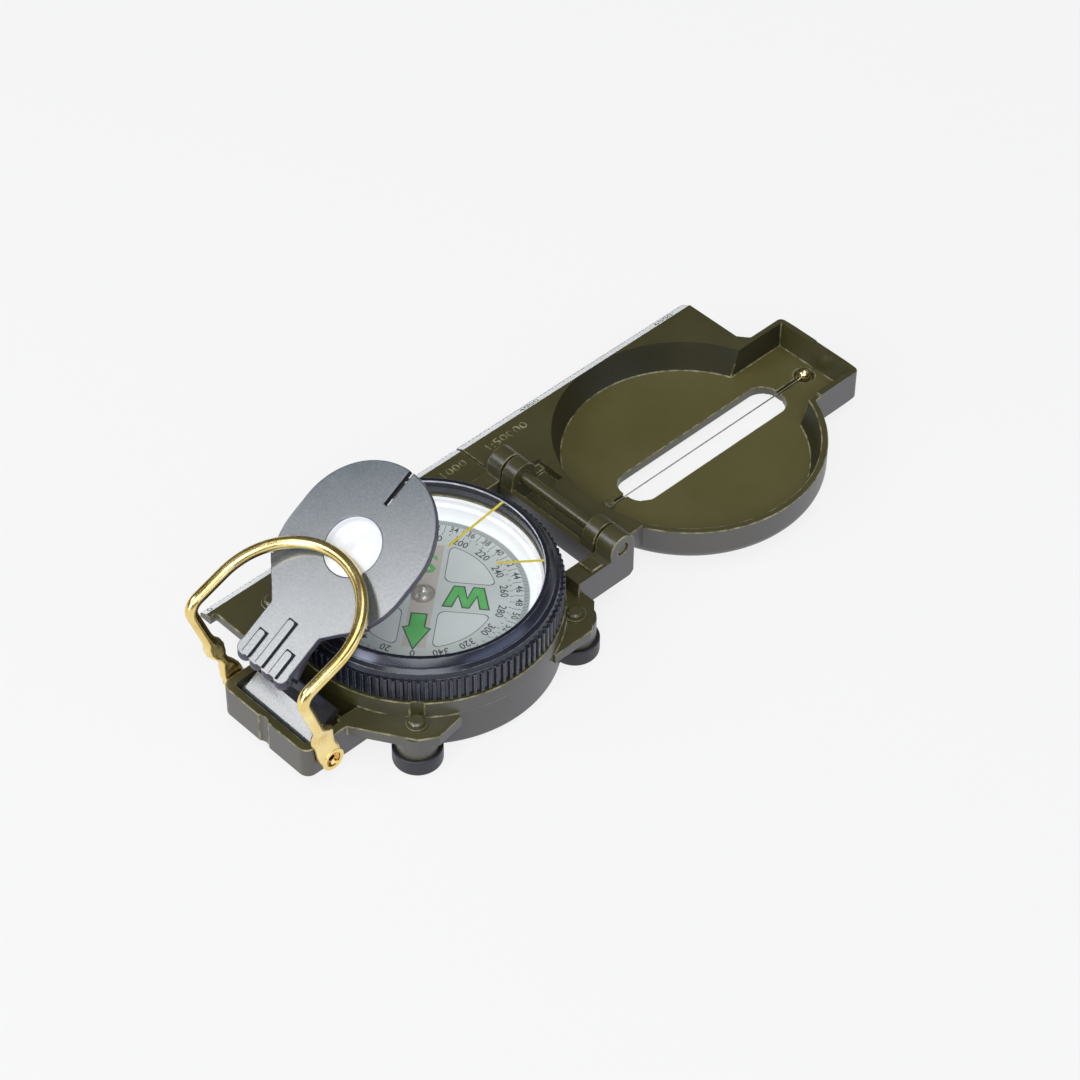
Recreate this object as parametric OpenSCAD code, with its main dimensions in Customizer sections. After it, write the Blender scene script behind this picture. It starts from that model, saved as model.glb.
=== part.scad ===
// Lensatic compass with a folding cover, a lens bracket and a thumb loop.
// Built around the dial axis, with the ruler plates' top face at height 0,
// then set down so that the origin lies under the middle of its box.

/* [Case] */
// Radius of the neck that the bezel turns on
neck_r = 23.4; // [23.2:0.05:23.7]
// Wall of the neck around the capsule
neck_wall = 1.3; // [1.2:0.05:1.5]
// Width of the collar outside the neck
collar_w = 2.6; // [2.5:0.1:3]
// Step from the collar in to the case wall
case_inset = 0.5; // [0.1:0.1:0.8]
// Height of the collar above the ruler plates
collar_h = 2.4; // [1.6:0.1:3]
// Depth of the case below the ruler plates
case_depth = 9.5; // [9:0.1:11]
// Rounding of the case's lower edge
case_edge = 1; // [0.5:0.1:1.5]
// Thickness of the case floor
floor_t = 2.4; // [1.6:0.1:3]
// Drop of the lugs and the rear tray below the plates
lug_drop = 1.1; // [0.6:0.1:1.6]
// Thickness of the foot lugs
lug_t = 2.2; // [1.6:0.1:2.8]
// Height of the neck above the ruler plates
neck_h = 7; // [6.4:0.1:7.4]

/* [Ruler] */
// Distance of the straight edge outside the case wall
rule_out = 0.15; // [0:0.05:1]
// Thickness of the ruler plates
plate_t = 2; // [1.5:0.1:2.6]
// Length of the base plate behind the case wall
rule_back = 3; // [2:0.1:4.5]
// Length of the cover plate in front of the round's middle
rule_reach = 26.88; // [25.4:0.01:27.4]
// Width of the bevelled scale
bevel_w = 1.9; // [1:0.1:3]
// Drop of the bevelled scale
bevel_drop = 1; // [0.5:0.1:1.4]
// Length of the scale past the rear edge of the plate
bevel_nose = 1.5; // [0.5:0.1:2.5]
// Width of the joint line between the two plates
joint_gap = 0.3; // [0.2:0.05:0.5]
// Distance of the joint line behind the hinge axis
joint_back = 1; // [0.6:0.1:1.4]

/* [Feet] */
// Distance of the feet from the collar's edge along the case
foot_in_x = 6.6; // [6:0.1:7]
// Distance of the feet from the collar's edge across the case
foot_in_y = 6.4; // [5.8:0.1:6.6]
// Radius of the foot posts
post_r = 3.95; // [3.4:0.05:4.1]
// Height of the posts' lower ends above the case's underside
post_short = 3.1; // [2.5:0.1:3.5]
// Radius of the rubber feet
rubber_r = 4.65; // [4.4:0.05:4.7]
// Height of the rubber feet
rubber_h = 3.8; // [3.5:0.1:4.6]
// Radius of the rivet shanks
rivet_r = 1; // [0.8:0.05:1.2]
// Radius of the rivet heads
rivet_head_r = 1.5; // [1.4:0.05:1.7]
// Radius of the rivet washers
washer_r = 2.05; // [1.9:0.05:2.4]
// Thickness of the rivet washers
washer_t = 0.35; // [0.25:0.05:0.5]

/* [Rear tray] */
// Distance of the tray's rear face behind the bracket's axis
tray_back = 4.4; // [4:0.1:5.4]
// Half width of the rear tray
tray_half = 11.6; // [11.3:0.1:11.8]
// Wall of the rear tray
tray_wall = 1.8; // [1.4:0.1:2]
// Depth of the rear tray below the plates
tray_depth = 8; // [7.6:0.1:8.6]
// Floor of the rear tray
tray_floor = 1.5; // [1:0.1:1.9]
// Corner radius of the rear tray
tray_corner = 2; // [1:0.1:2.5]
// Width of the upright groove in the rear face
tray_groove = 3; // [2:0.1:4]

/* [Capsule] */
// Wall of the capsule bowl
capsule_wall = 1.4; // [1:0.1:1.6]
// Floor of the capsule bowl
capsule_floor = 1.2; // [0.8:0.1:1.6]
// Thickness of the capsule lid
lid_t = 1.2; // [0.8:0.1:1.6]
// Gap between the compass card and the capsule's wall
card_gap = 1.2; // [0.6:0.1:2]
// Thickness of the compass card
card_t = 0.4; // [0.3:0.05:0.8]
// Height of the card's face above the ruler plates
card_z = 3.2; // [2.6:0.1:3.6]
// Length of the magnet bar, as a share of the card
magnet_share = 0.773; // [0.5:0.001:0.88]
// Width of the magnet bar
magnet_w = 4; // [3.4:0.1:5]
// Thickness of the magnet bar
magnet_t = 1; // [0.8:0.1:1.4]
// Heading of the card's north mark, anticlockwise from the front
north_deg = -140; // [-180:1:180]
// Radius of the jewel cup's cap
cup_cap_r = 1.75; // [1.5:0.05:2.2]
// Radius of the jewel cup's body
cup_r = 1.3; // [1.1:0.05:1.4]
// Radius of the needle
needle_r = 0.45; // [0.35:0.05:0.5]

/* [Bezel] */
// Wall of the bezel outside the neck, over the knurl
bezel_wall = 2.4; // [2:0.05:2.6]
// Number of knurl ribs
knurl_count = 110; // [90:1:120]
// Depth of the knurl
knurl_depth = 0.5; // [0.3:0.05:0.7]
// Gap between the collar and the bezel
bezel_gap = 0.3; // [0.2:0.05:0.5]
// Height of the knurl's top above the ruler plates
knurl_top = 7.4; // [7:0.05:7.4]
// Height of the bezel's lip above the ruler plates
lip_z = 10.6; // [10.2:0.05:10.6]
// Step from the neck in to the lip's outer edge
lip_in = 0.45; // [0.2:0.05:0.6]
// Width of the bezel's lip
lip_w = 0.8; // [0.6:0.05:1.1]
// Width of the stepped shoulder outside the lip
shoulder_w = 1.95; // [1.6:0.05:2.1]
// Height of the lip above the glass
lip_h = 0.3; // [0.2:0.05:0.4]
// Overlap of the lip on the glass
glass_seat = 0.3; // [0.2:0.05:0.35]
// Thickness of the glass
glass_t = 1.2; // [0.8:0.1:1.3]
// Thickness of the ring under the glass
retainer_t = 1.2; // [0.8:0.1:1.3]
// Width of the marching lines
line_w = 0.7; // [0.4:0.1:1]
// Turning fit of the bezel on the neck
bezel_fit = 0.08; // [0.05:0.01:0.1]

/* [Hinge] */
// Distance of the hinge axis in front of the neck
hinge_out = 10.66; // [10.6:0.02:11.1]
// Height of the hinge axis above the ruler plates
hinge_z = 3.8; // [3.8:0.02:4]
// Radius of the hinge pin
pin_r = 1.25; // [1:0.05:1.5]
// Radius of the knuckles and the ears
knuckle_r = 3.05; // [2.8:0.05:3.2]
// Distance between the two knuckles
knuckle_span = 18.6; // [17:0.1:19.4]
// Width of each knuckle
knuckle_w = 3.1; // [2.6:0.1:3.4]
// Gap between a knuckle and its ear
ear_gap = 0.4; // [0.3:0.05:0.5]
// Width of the near ear
near_ear_w = 4.2; // [3.6:0.1:4.6]
// Width of the far ear
far_ear_w = 3.6; // [3:0.1:4]
// Depth of the ears below the ruler plates
ear_depth = 4.4; // [3.6:0.1:4.8]

/* [Cover] */
// Wall of the cover's round at its mouth
cover_wall = 1.2; // [1:0.05:1.6]
// Gap between the cover's recess and the knurl when closed
recess_gap = 0.2; // [0.15:0.05:0.5]
// Narrowing of the recess from its mouth to its floor
recess_taper = 1.8; // [1.5:0.05:2]
// Depth of the cover's recess
recess_depth = 6; // [5.9:0.05:6.4]
// Thickness of the cover's floor
cover_floor_t = 2; // [1.4:0.1:2.4]
// Rounding of the cover's lower edge
cover_edge = 2.7; // [1:0.1:3]
// Drop of the near rim below the ruler plate
rim_drop = 0.5; // [0.2:0.05:0.8]
// Distance of the front tray's outer face from the round's middle
front_reach = 37.48; // [37:0.01:38.4]
// Half width of the front tray
front_half = 10.6; // [10.2:0.1:11]
// Wall of the front tray
front_wall = 1.2; // [0.9:0.1:1.6]
// Floor of the front tray
front_floor_t = 1; // [0.8:0.1:1.5]
// Distance of the slot's rear end from the round's middle
slot_back = 16.22; // [15:0.01:17.6]
// Distance of the slot's front end from the round's middle
slot_reach = 25.88; // [24:0.01:27.8]
// Width of the sighting slot
slot_w = 8.6; // [6:0.1:10]
// Radius of the sighting wire
wire_r = 0.15; // [0.1:0.05:0.3]
// Distance of the wire's rear anchor behind the slot
anchor_back = 4.4; // [3.4:0.1:4.9]
// Distance of the wire's front anchor in front of the slot
anchor_out = 7.5; // [7:0.1:8]
// Radius of the front anchor ball
ball_r = 1.4; // [1.2:0.05:1.6]
// Distance of the cross member's rear face behind the hinge axis
cross_back = 3.46; // [3.1:0.02:3.8]
// Thickness of the cross member
cross_t = 1.2; // [0.9:0.1:1.5]
// Top of the cross member above the ruler plates
cross_top = 2; // [1.4:0.1:2.2]
// Depth of the hinge floor below the ruler plates
hinge_floor = 3; // [2.6:0.1:3.2]

/* [Lens bracket] */
// Distance of the bracket's axis behind the neck
bracket_back = 10.6; // [10.4:0.1:10.8]
// Depth of the bracket's axis below the ruler plates
bracket_drop = 4; // [3.9:0.05:4.1]
// Tilt of the leaf as photographed
leaf_tilt = 32; // [20:1:45]
// Radius of the bracket's barrel
barrel_r = 1.9; // [1.7:0.05:2]
// Radius of the bracket pin
bracket_pin_r = 1.2; // [1:0.05:1.3]
// Height of the leaf's top above the axis, folded
leaf_h = 16.3; // [16.25:0.05:16.6]
// Thickness of the leaf
leaf_t = 1.35; // [1.1:0.05:1.4]
// Distance of the lens from the neck's rear along the leaf
lens_reach = 20.8; // [19.4:0.1:22.4]
// Radius of the lens
lens_r = 5.62; // [5:0.02:6.2]
// Half width of the leaf's head
head_half = 14.4; // [13:0.1:15]
// Half length of the leaf's head
head_len = 16.6; // [15.6:0.1:17]
// Half width of the leaf's neck
neck_half = 6.3; // [5:0.1:7]
// Width of the sighting slot in the leaf
sight_w = 0.9; // [0.6:0.1:1.4]
// Length of the sighting slot in the leaf
sight_len = 7.3; // [5:0.1:9]
// Distance of the riser's rear face from the axis
riser_x = 5.8; // [5.4:0.1:6]
// Thickness of the riser
riser_t = 1.6; // [1.2:0.1:1.7]
// Half width of the foot plate
foot_half = 8.9; // [8:0.1:9.2]
// Width of a thumb rib
rib_w = 2; // [1.4:0.1:2.4]
// Distance between the thumb ribs
rib_pitch = 3.6; // [3:0.1:4]
// Height of the thumb ribs
rib_h = 0.3; // [0.2:0.05:0.4]

/* [Thumb loop] */
// Radius of the loop's wire
loop_r = 1.15; // [1:0.05:1.3]
// Length of each leg from the axis to the shoulder
leg_len = 23; // [21.6:0.1:24.4]
// Backward lean of the legs as photographed
leg_lean = 19; // [10:0.5:28]
// Distance from the shoulders to the top of the arch
arch_len = 23.9; // [20:0.1:28]
// Half width of the arch
arch_half = 15; // [14.8:0.1:16.4]
// Bend radius of the shoulders
bend_r = 2.6; // [2:0.1:4]
// Gap between the arch and the leaf that it lies on
rest_gap = 0.22; // [0.15:0.01:0.4]
// Radius of the flat eyes on the pin
eye_r = 2.3; // [2.2:0.1:2.8]
// Thickness of the flat eyes
eye_t = 2; // [1.4:0.1:2.2]
// Gap between the tray wall and an eye
eye_gap = 0.3; // [0.2:0.05:0.5]

/* [Fits] */
// Turning fit of pins in their bores
pin_fit = 0.05; // [0.03:0.01:0.09]
// Loose fit of fixed pieces in their seats
seat_fit = 0.1; // [0.05:0.01:0.15]

/* [Hidden] */
$fn = 96;
collar_r = neck_r + collar_w;
case_r = collar_r - case_inset;
rule_y = case_r + rule_out;
rule_rear = case_r + rule_back;
foot_x = collar_r - foot_in_x;
foot_y = collar_r - foot_in_y;
bracket_x = neck_r + bracket_back;
tray_rear = bracket_x + tray_back;
seat_z = -case_depth + floor_t;
capsule_top = neck_h;
well_r = neck_r - neck_wall;
capsule_r = well_r - seat_fit;
capsule_in = capsule_r - capsule_wall;
card_r = capsule_in - card_gap;
magnet_len = 2 * magnet_share * card_r;
knurl_r = neck_r + bezel_wall;
lip_out_r = neck_r - lip_in;
lip_r = lip_out_r - lip_w;
glass_r = lip_r + glass_seat;
hinge_x = neck_r + hinge_out;
cross_x = hinge_x - cross_back;
recess_r = knurl_r + recess_gap;
cover_r = recess_r + cover_wall;
recess_floor_r = recess_r - recess_taper;
bowl_floor_z = seat_z + capsule_floor;
joint_x = hinge_x - joint_back;
knuckle_in = knuckle_span / 2;
knuckle_out = knuckle_in + knuckle_w;
near_ear = knuckle_out + ear_gap;
far_ear = knuckle_out + ear_gap;
cover_x = 2 * hinge_x;
rule_front = cover_x + rule_reach;
front_x = cover_x + front_reach;
slot_rear = cover_x - slot_back;
slot_front = cover_x + slot_reach;
anchor_rear = slot_rear - anchor_back;
anchor_front = slot_front + anchor_out;
lens_u = bracket_back + lens_reach;
cover_bottom = -recess_depth - cover_floor_t;
tray_in = tray_half - tray_wall;
tray_floor_z = -tray_depth + tray_floor;
glass_top = lip_z - lip_h;
glass_bottom = glass_top - glass_t;
retainer_bottom = glass_bottom - retainer_t;
retainer_r = glass_r + 0.5;
bezel_bore = neck_r + bezel_fit;
snap_mid = (collar_h + bezel_gap + neck_h) / 2 + 0.45;
snap_h = 0.5;
snap_in = neck_r - 0.4;
snap_out = neck_r + 0.55;
eye_in = tray_half + eye_gap;
eye_out = eye_in + eye_t;
post_depth = case_depth - post_short;
foot_bottom = -post_depth - rubber_h;
rivet_tail = -post_depth - 2;
axis_z = -bracket_drop;
box_mid_y = (rule_y + bevel_w - cover_r) / 2;
// Points along the loop's wire, from the near eye over the arch to the far eye
// The arch lies on the raised leaf, whatever the lengths and the tilt
arch_lean = acos((leaf_h + loop_r + rest_gap - leg_len * cos(leaf_tilt - leg_lean))
    / arch_len) - leaf_tilt;
leg = [-sin(leg_lean), 0, cos(leg_lean)];
run = [sin(arch_lean), 0, cos(arch_lean)];
half_bend = (leg_lean + arch_lean) / 2;
mid_eye = (eye_in + eye_out) / 2;
loop_axis = [-bracket_x, 0, axis_z];
shoulder = loop_axis + leg * leg_len;
bend_mid = shoulder + bend_r / cos(half_bend)
    * [cos((arch_lean - leg_lean) / 2), 0, -sin((arch_lean - leg_lean) / 2)];
arch_mid = shoulder + run * (arch_len - arch_half);
half_path = [
    for (q = [[1.4 * eye_r, mid_eye], [2 * eye_r, mid_eye], [2.6 * eye_r, mid_eye + 0.2],
        [4.3 * eye_r, arch_half - 0.2], [5 * eye_r, arch_half]])
        loop_axis + leg * q[0] + [0, q[1], 0],
    for (i = [0 : 5]) let (a = 180 + leg_lean - i * 2 * half_bend / 5)
        bend_mid + bend_r * [cos(a), 0, sin(a)] + [0, arch_half, 0]];
loop_path = concat(half_path,
    [for (i = [0 : 24]) let (a = i * 7.5)
        arch_mid + arch_half * (cos(a) * [0, 1, 0] + sin(a) * run)],
    [for (i = [len(half_path) - 1 : -1 : 0])
        [half_path[i][0], -half_path[i][1], half_path[i][2]]]);

box_mid_x = (front_x + bend_mid[0] - bend_r - loop_r) / 2;

// A point of a lug's outline, in shares of the foot's place
function lug(a, b) = [a * foot_x, b * foot_y];

// Sets the case coordinates down on the feet
module place() {
    translate([-box_mid_x, -box_mid_y, -foot_bottom]) children();
}

// A bar along the width, from one y to another
module across(x, z, r, y0, y1) {
    translate([x, y0, z]) rotate([-90, 0, 0]) cylinder(r = r, h = y1 - y0);
}

// An outline in x and z, drawn out along the width
module side_cut(y0, y1) {
    translate([0, y1, 0]) rotate([90, 0, 0]) linear_extrude(y1 - y0) children();
}

// A box with its four upright edges rounded
module round_box(x0, x1, half, z0, z1, r) {
    translate([0, 0, z0]) linear_extrude(z1 - z0) {
        translate([x0 + r, -half]) square([x1 - x0 - 2 * r, 2 * half]);
        translate([x0, -half + r]) square([x1 - x0, 2 * half - 2 * r]);
        for (x = [x0 + r, x1 - r], y = [-half + r, half - r])
            translate([x, y]) circle(r);
    }
}

// The four foot places
module at_feet() {
    for (sx = [-1, 1], sy = [-1, 1])
        translate([sx * foot_x, sy * foot_y, sy > 0 ? 0 : -lug_drop]) children();
}

module at_feet_level() {
    for (sx = [-1, 1], sy = [-1, 1]) translate([sx * foot_x, sy * foot_y, 0]) children();
}

// The bevelled scale along the straight edge
module rule_bevel(x0, x1) {
    translate([x0, 0, 0]) rotate([90, 0, 90]) linear_extrude(x1 - x0) polygon([
        [rule_y - 1, 0], [rule_y, 0], [rule_y + bevel_w, -bevel_drop],
        [rule_y + bevel_w, -plate_t], [rule_y - 1, -plate_t]]);
}

// Case wall, collar and neck, with the well for the capsule
module case_round() {
    rotate_extrude() difference() {
        union() {
            translate([0, -case_depth]) square([case_r - case_edge, case_depth + collar_h]);
            translate([0, -case_depth + case_edge])
                square([case_r, case_depth - case_edge]);
            translate([case_r - case_edge, -case_depth + case_edge]) intersection() {
                circle(case_edge);
                translate([0, -case_edge]) square(case_edge);
            }
            translate([0, -lug_drop]) square([collar_r, lug_drop + collar_h]);
            square([neck_r, neck_h]);
        }
        translate([0, seat_z]) square([well_r, neck_h - seat_z + 1]);
        translate([snap_in - 0.05, snap_mid - snap_h / 2 - 0.05])
            square([2, snap_h + 0.1]);
    }
}

// One hinge ear with its arm back to the collar
module ear(y0, y1) {
    across(hinge_x, hinge_z, knuckle_r, y0, y1);
    side_cut(y0, y1) polygon([
        [hinge_x - knuckle_r, hinge_z], [hinge_x - knuckle_r, collar_h],
        [collar_r - 3.2, collar_h], [collar_r - 3.2, -ear_depth],
        [hinge_x + knuckle_r - 0.9, -ear_depth],
        [hinge_x + knuckle_r, -ear_depth + 0.9], [hinge_x + knuckle_r, hinge_z]]);
}

module base_casting() {
    lug_rear = [lug(-1.495, -0.459), lug(-1.479, -0.607), lug(-1.129, -1.158),
        lug(-0.959, -1.26), lug(-0.644, -1.214), lug(-0.515, -0.51)];
    lug_front = [lug(1.263, -0.658), lug(1.263, -0.99), lug(1.077, -1.168),
        lug(0.969, -1.25), lug(0.505, -1.25), lug(0.412, -0.51)];
    color([0.31, 0.30, 0.16]) place() difference() {
        union() {
            case_round();
            difference() {
                union() {
                    translate([0, 0, -plate_t]) linear_extrude(plate_t) polygon([
                        [-rule_rear, tray_in], [-rule_rear, rule_y],
                        [joint_x, rule_y], [joint_x, far_ear], [case_r / 2, far_ear], [case_r / 2, tray_in]]);
                    rule_bevel(-rule_rear - bevel_nose, joint_x);
                    translate([0, 0, -lug_drop - lug_t]) linear_extrude(lug_t) {
                        polygon(lug_rear);
                        polygon(lug_front);
                    }
                    at_feet_level() translate([0, 0, -post_depth])
                        cylinder(r = post_r, h = post_depth - lug_drop - 0.5);
                    ear(-near_ear - near_ear_w, -near_ear);
                    ear(far_ear, far_ear + far_ear_w);
                    translate([collar_r + 0.4, -near_ear - near_ear_w + 0.4, collar_h - 0.5])
                        cube([3, near_ear_w - 0.8, 1]);
                    difference() {
                        round_box(-tray_rear, 0, tray_half, -tray_depth, -lug_drop, tray_corner);
                        round_box(-tray_rear + tray_wall, 2, tray_in, tray_floor_z, 1, 0.8);
                        translate([-tray_rear - 1.4, 0, -tray_depth - 1])
                            cylinder(r = tray_groove / 2 + 0.4, h = tray_depth + 2);
                    }
                }
                translate([0, 0, -case_depth - 1])
                    cylinder(r = (case_r + neck_r) / 2, h = case_depth + 20);
            }
        }
        at_feet() cylinder(r = washer_r + pin_fit, h = collar_h + lug_drop + 1);
        at_feet_level() translate([0, 0, -case_depth - 1])
            cylinder(r = rubber_r + 0.3, h = case_depth + 1 - post_depth);
        at_feet_level() translate([0, 0, -case_depth])
            cylinder(r = rivet_r + pin_fit, h = case_depth + 2);
        across(hinge_x, hinge_z, pin_r + pin_fit, -near_ear - near_ear_w - 1, far_ear + far_ear_w - 1);
        across(-bracket_x, axis_z, bracket_pin_r + pin_fit, -tray_half - 1, tray_half + 1);
    }
}

module foot_rivets() {
    color([0.36, 0.35, 0.2]) place() at_feet() {
        translate([0, 0, washer_t]) cylinder(r = rivet_head_r, h = 0.5);
        translate([0, 0, washer_t + 0.5]) cylinder(r1 = rivet_head_r, r2 = rivet_head_r - 0.4, h = 0.3);
    }
    color([0.36, 0.35, 0.2]) place() for (sx = [-1, 1], sy = [-1, 1]) {
        top = sy > 0 ? 0 : -lug_drop;
        translate([sx * foot_x, sy * foot_y, rivet_tail - 0.3])
            cylinder(r = rivet_r, h = top - rivet_tail + washer_t + 0.5);
        translate([sx * foot_x, sy * foot_y, rivet_tail - 0.6])
            cylinder(r = rivet_head_r, h = 0.6);
    }
}

module foot_washers() {
    color([0.33, 0.32, 0.18]) place() at_feet() difference() {
        cylinder(r = washer_r, h = washer_t);
        translate([0, 0, -1]) cylinder(r = rivet_r + pin_fit, h = 3);
    }
}

module rubber_feet() {
    color([0.06, 0.06, 0.07]) place() at_feet_level() difference() {
        union() {
            translate([0, 0, foot_bottom]) cylinder(r1 = rubber_r - 0.5, r2 = rubber_r, h = 0.5);
            translate([0, 0, foot_bottom + 0.5]) cylinder(r = rubber_r, h = rubber_h - 0.5);
        }
        translate([0, 0, foot_bottom - 1]) cylinder(r = rivet_r + pin_fit, h = rubber_h + 2);
        translate([0, 0, foot_bottom - 1])
            cylinder(r = rivet_head_r + 0.4, h = rivet_tail - foot_bottom + 1);
    }
}

module capsule_bowl() {
    color([0.93, 0.94, 0.93]) place() difference() {
        translate([0, 0, seat_z]) cylinder(r = capsule_r, h = capsule_top - seat_z - 0.2);
        translate([0, 0, bowl_floor_z]) cylinder(r = capsule_in, h = 30);
        translate([0, 0, capsule_top - lid_t - 0.2])
            cylinder(r = (capsule_in + capsule_r) / 2 + seat_fit, h = 10);
    }
}

module capsule_lid() {
    color([0.85, 0.9, 0.92, 0.4]) place() translate([0, 0, capsule_top - lid_t - 0.2])
        cylinder(r = (capsule_in + capsule_r) / 2, h = lid_t);
}

module pivot_post() {
    cup_low = card_z - card_t - magnet_t - 0.2;
    tip = card_z - 0.3;
    color([0.7, 0.7, 0.72]) place() {
        translate([0, 0, bowl_floor_z]) cylinder(r = 2.5, h = 1);
        translate([0, 0, bowl_floor_z]) cylinder(r1 = 1.2, r2 = 0.9, h = cup_low - bowl_floor_z - 0.8);
        translate([0, 0, bowl_floor_z]) cylinder(r = needle_r, h = tip - 0.75 - bowl_floor_z);
        translate([0, 0, tip - 0.75]) cylinder(r1 = needle_r, r2 = 0.04, h = 0.65);
    }
}

module jewel_cup() {
    cup_low = card_z - card_t - magnet_t - 0.2;
    tip = card_z - 0.3;
    color([0.72, 0.66, 0.5]) place() difference() {
        union() {
            translate([0, 0, cup_low]) cylinder(r = cup_r, h = card_z - cup_low + 0.3);
            translate([0, 0, card_z]) cylinder(r = cup_cap_r, h = 0.5);
            translate([0, 0, card_z + 0.5]) cylinder(r1 = cup_cap_r, r2 = cup_cap_r - 0.5, h = 0.4);
            translate([0, 0, card_z + 0.6]) cylinder(r = 0.7, h = 0.7);
        }
        translate([0, 0, cup_low - 0.01]) cylinder(r1 = cup_r - 0.25, r2 = 0.05, h = tip - cup_low + 0.01);
    }
}

module compass_card() {
    color([0.82, 0.86, 0.82]) place() translate([0, 0, card_z - card_t]) difference() {
        cylinder(r = card_r, h = card_t);
        translate([0, 0, -1]) cylinder(r = cup_r + 0.03, h = 4);
    }
}

module magnet_bar() {
    color([0.45, 0.4, 0.33]) place() rotate([0, 0, north_deg]) difference() {
        translate([-magnet_len / 2, -magnet_w / 2, card_z - card_t - magnet_t])
            cube([magnet_len, magnet_w, magnet_t]);
        cylinder(r = cup_r + 0.03, h = 10);
    }
}

module bezel_snap_ring() {
    color([0.6, 0.6, 0.62]) place() translate([0, 0, snap_mid - snap_h / 2]) difference() {
        cylinder(r = snap_out, h = snap_h);
        translate([0, 0, -1]) cylinder(r = snap_in, h = 3);
        translate([0, -2.5, -1]) cube([40, 5, 3]);
    }
}

module bezel_ring() {
    low = collar_h + bezel_gap;
    root = knurl_r - knurl_depth;
    step = 360 / knurl_count;
    rise = lip_z - knurl_top;
    color([0.07, 0.075, 0.09]) place() difference() {
        union() {
            rotate_extrude() polygon([
                [0, low], [root - 0.2, low], [root, low + 0.2], [root, knurl_top - 0.2],
                [root - 0.2, knurl_top], [lip_out_r + shoulder_w, knurl_top + 0.22 * rise],
                [lip_out_r + 0.95 * shoulder_w, lip_z - 0.65 * rise],
                [lip_out_r + 0.56 * shoulder_w, lip_z - 0.47 * rise],
                [lip_out_r + 0.51 * shoulder_w, lip_z - 0.34 * rise],
                [lip_out_r + 0.1 * shoulder_w, lip_z - 0.08 * rise],
                [lip_out_r, lip_z], [0, lip_z]]);
            translate([0, 0, low]) linear_extrude(knurl_top - low) polygon([
                for (i = [0 : knurl_count - 1], k = [0, 1, 2, 3])
                    let (a = (i + [-0.32, -0.18, 0.18, 0.32][k]) * step,
                         r = [root, knurl_r, knurl_r, root][k])
                    [r * cos(a), r * sin(a)]]);
        }
        translate([0, 0, low - 1]) cylinder(r = bezel_bore, h = retainer_bottom - low + 1);
        translate([0, 0, snap_mid - snap_h / 2 - 0.15])
            cylinder(r = snap_out + 0.1, h = snap_h + 0.3);
        translate([0, 0, retainer_bottom]) cylinder(r = retainer_r + 0.02, h = retainer_t);
        translate([0, 0, glass_bottom]) cylinder(r = glass_r + 0.02, h = glass_t);
        translate([0, 0, glass_top - 0.01]) cylinder(r = lip_r, h = 5);
    }
}

module bezel_glass() {
    color([0.8, 0.88, 0.92, 0.3]) place() translate([0, 0, glass_bottom])
        cylinder(r = glass_r, h = glass_t);
}

module glass_retainer() {
    color([0.12, 0.12, 0.13]) place() translate([0, 0, retainer_bottom]) difference() {
        cylinder(r = retainer_r, h = retainer_t);
        translate([0, 0, -1]) cylinder(r = lip_r, h = 5);
    }
}

module marching_lines() {
    color([0.89, 0.8, 0.2]) place() {
        rotate([0, 0, 6]) translate([0.32 * lip_r, -line_w / 2, glass_top])
            cube([0.675 * lip_r, line_w, line_w / 6]);
        rotate([0, 0, -39]) translate([0.6 * lip_r, -line_w / 2, glass_top])
            cube([0.395 * lip_r, line_w, line_w / 6]);
    }
}

module hinge_pin() {
    color([0.33, 0.32, 0.18]) place()
        across(hinge_x, hinge_z, pin_r, -near_ear - near_ear_w + 0.3, far_ear + far_ear_w - 1.2);
}

// The round of the cover, seen from the side and turned
module cover_round() {
    top = -rim_drop;
    translate([cover_x, 0, 0]) rotate_extrude() {
        translate([0, cover_bottom]) square([cover_r - cover_edge, top - cover_bottom]);
        translate([0, cover_bottom + cover_edge])
            square([cover_r, top - cover_bottom - cover_edge]);
        translate([cover_r - cover_edge, cover_bottom + cover_edge]) intersection() {
            circle(cover_edge);
            translate([0, -cover_edge]) square(cover_edge);
        }
    }
}

module slot_shape(x0, x1, w) {
    r = min(w / 2 - 0.05, 3.6);
    translate([x0 + r, -w / 2]) square([x1 - x0 - 2 * r, w]);
    translate([x0, -w / 2 + r]) square([x1 - x0, w - 2 * r]);
    for (x = [x0 + r, x1 - r], y = [-w / 2 + r, w / 2 - r]) translate([x, y]) circle(r);
}

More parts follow.
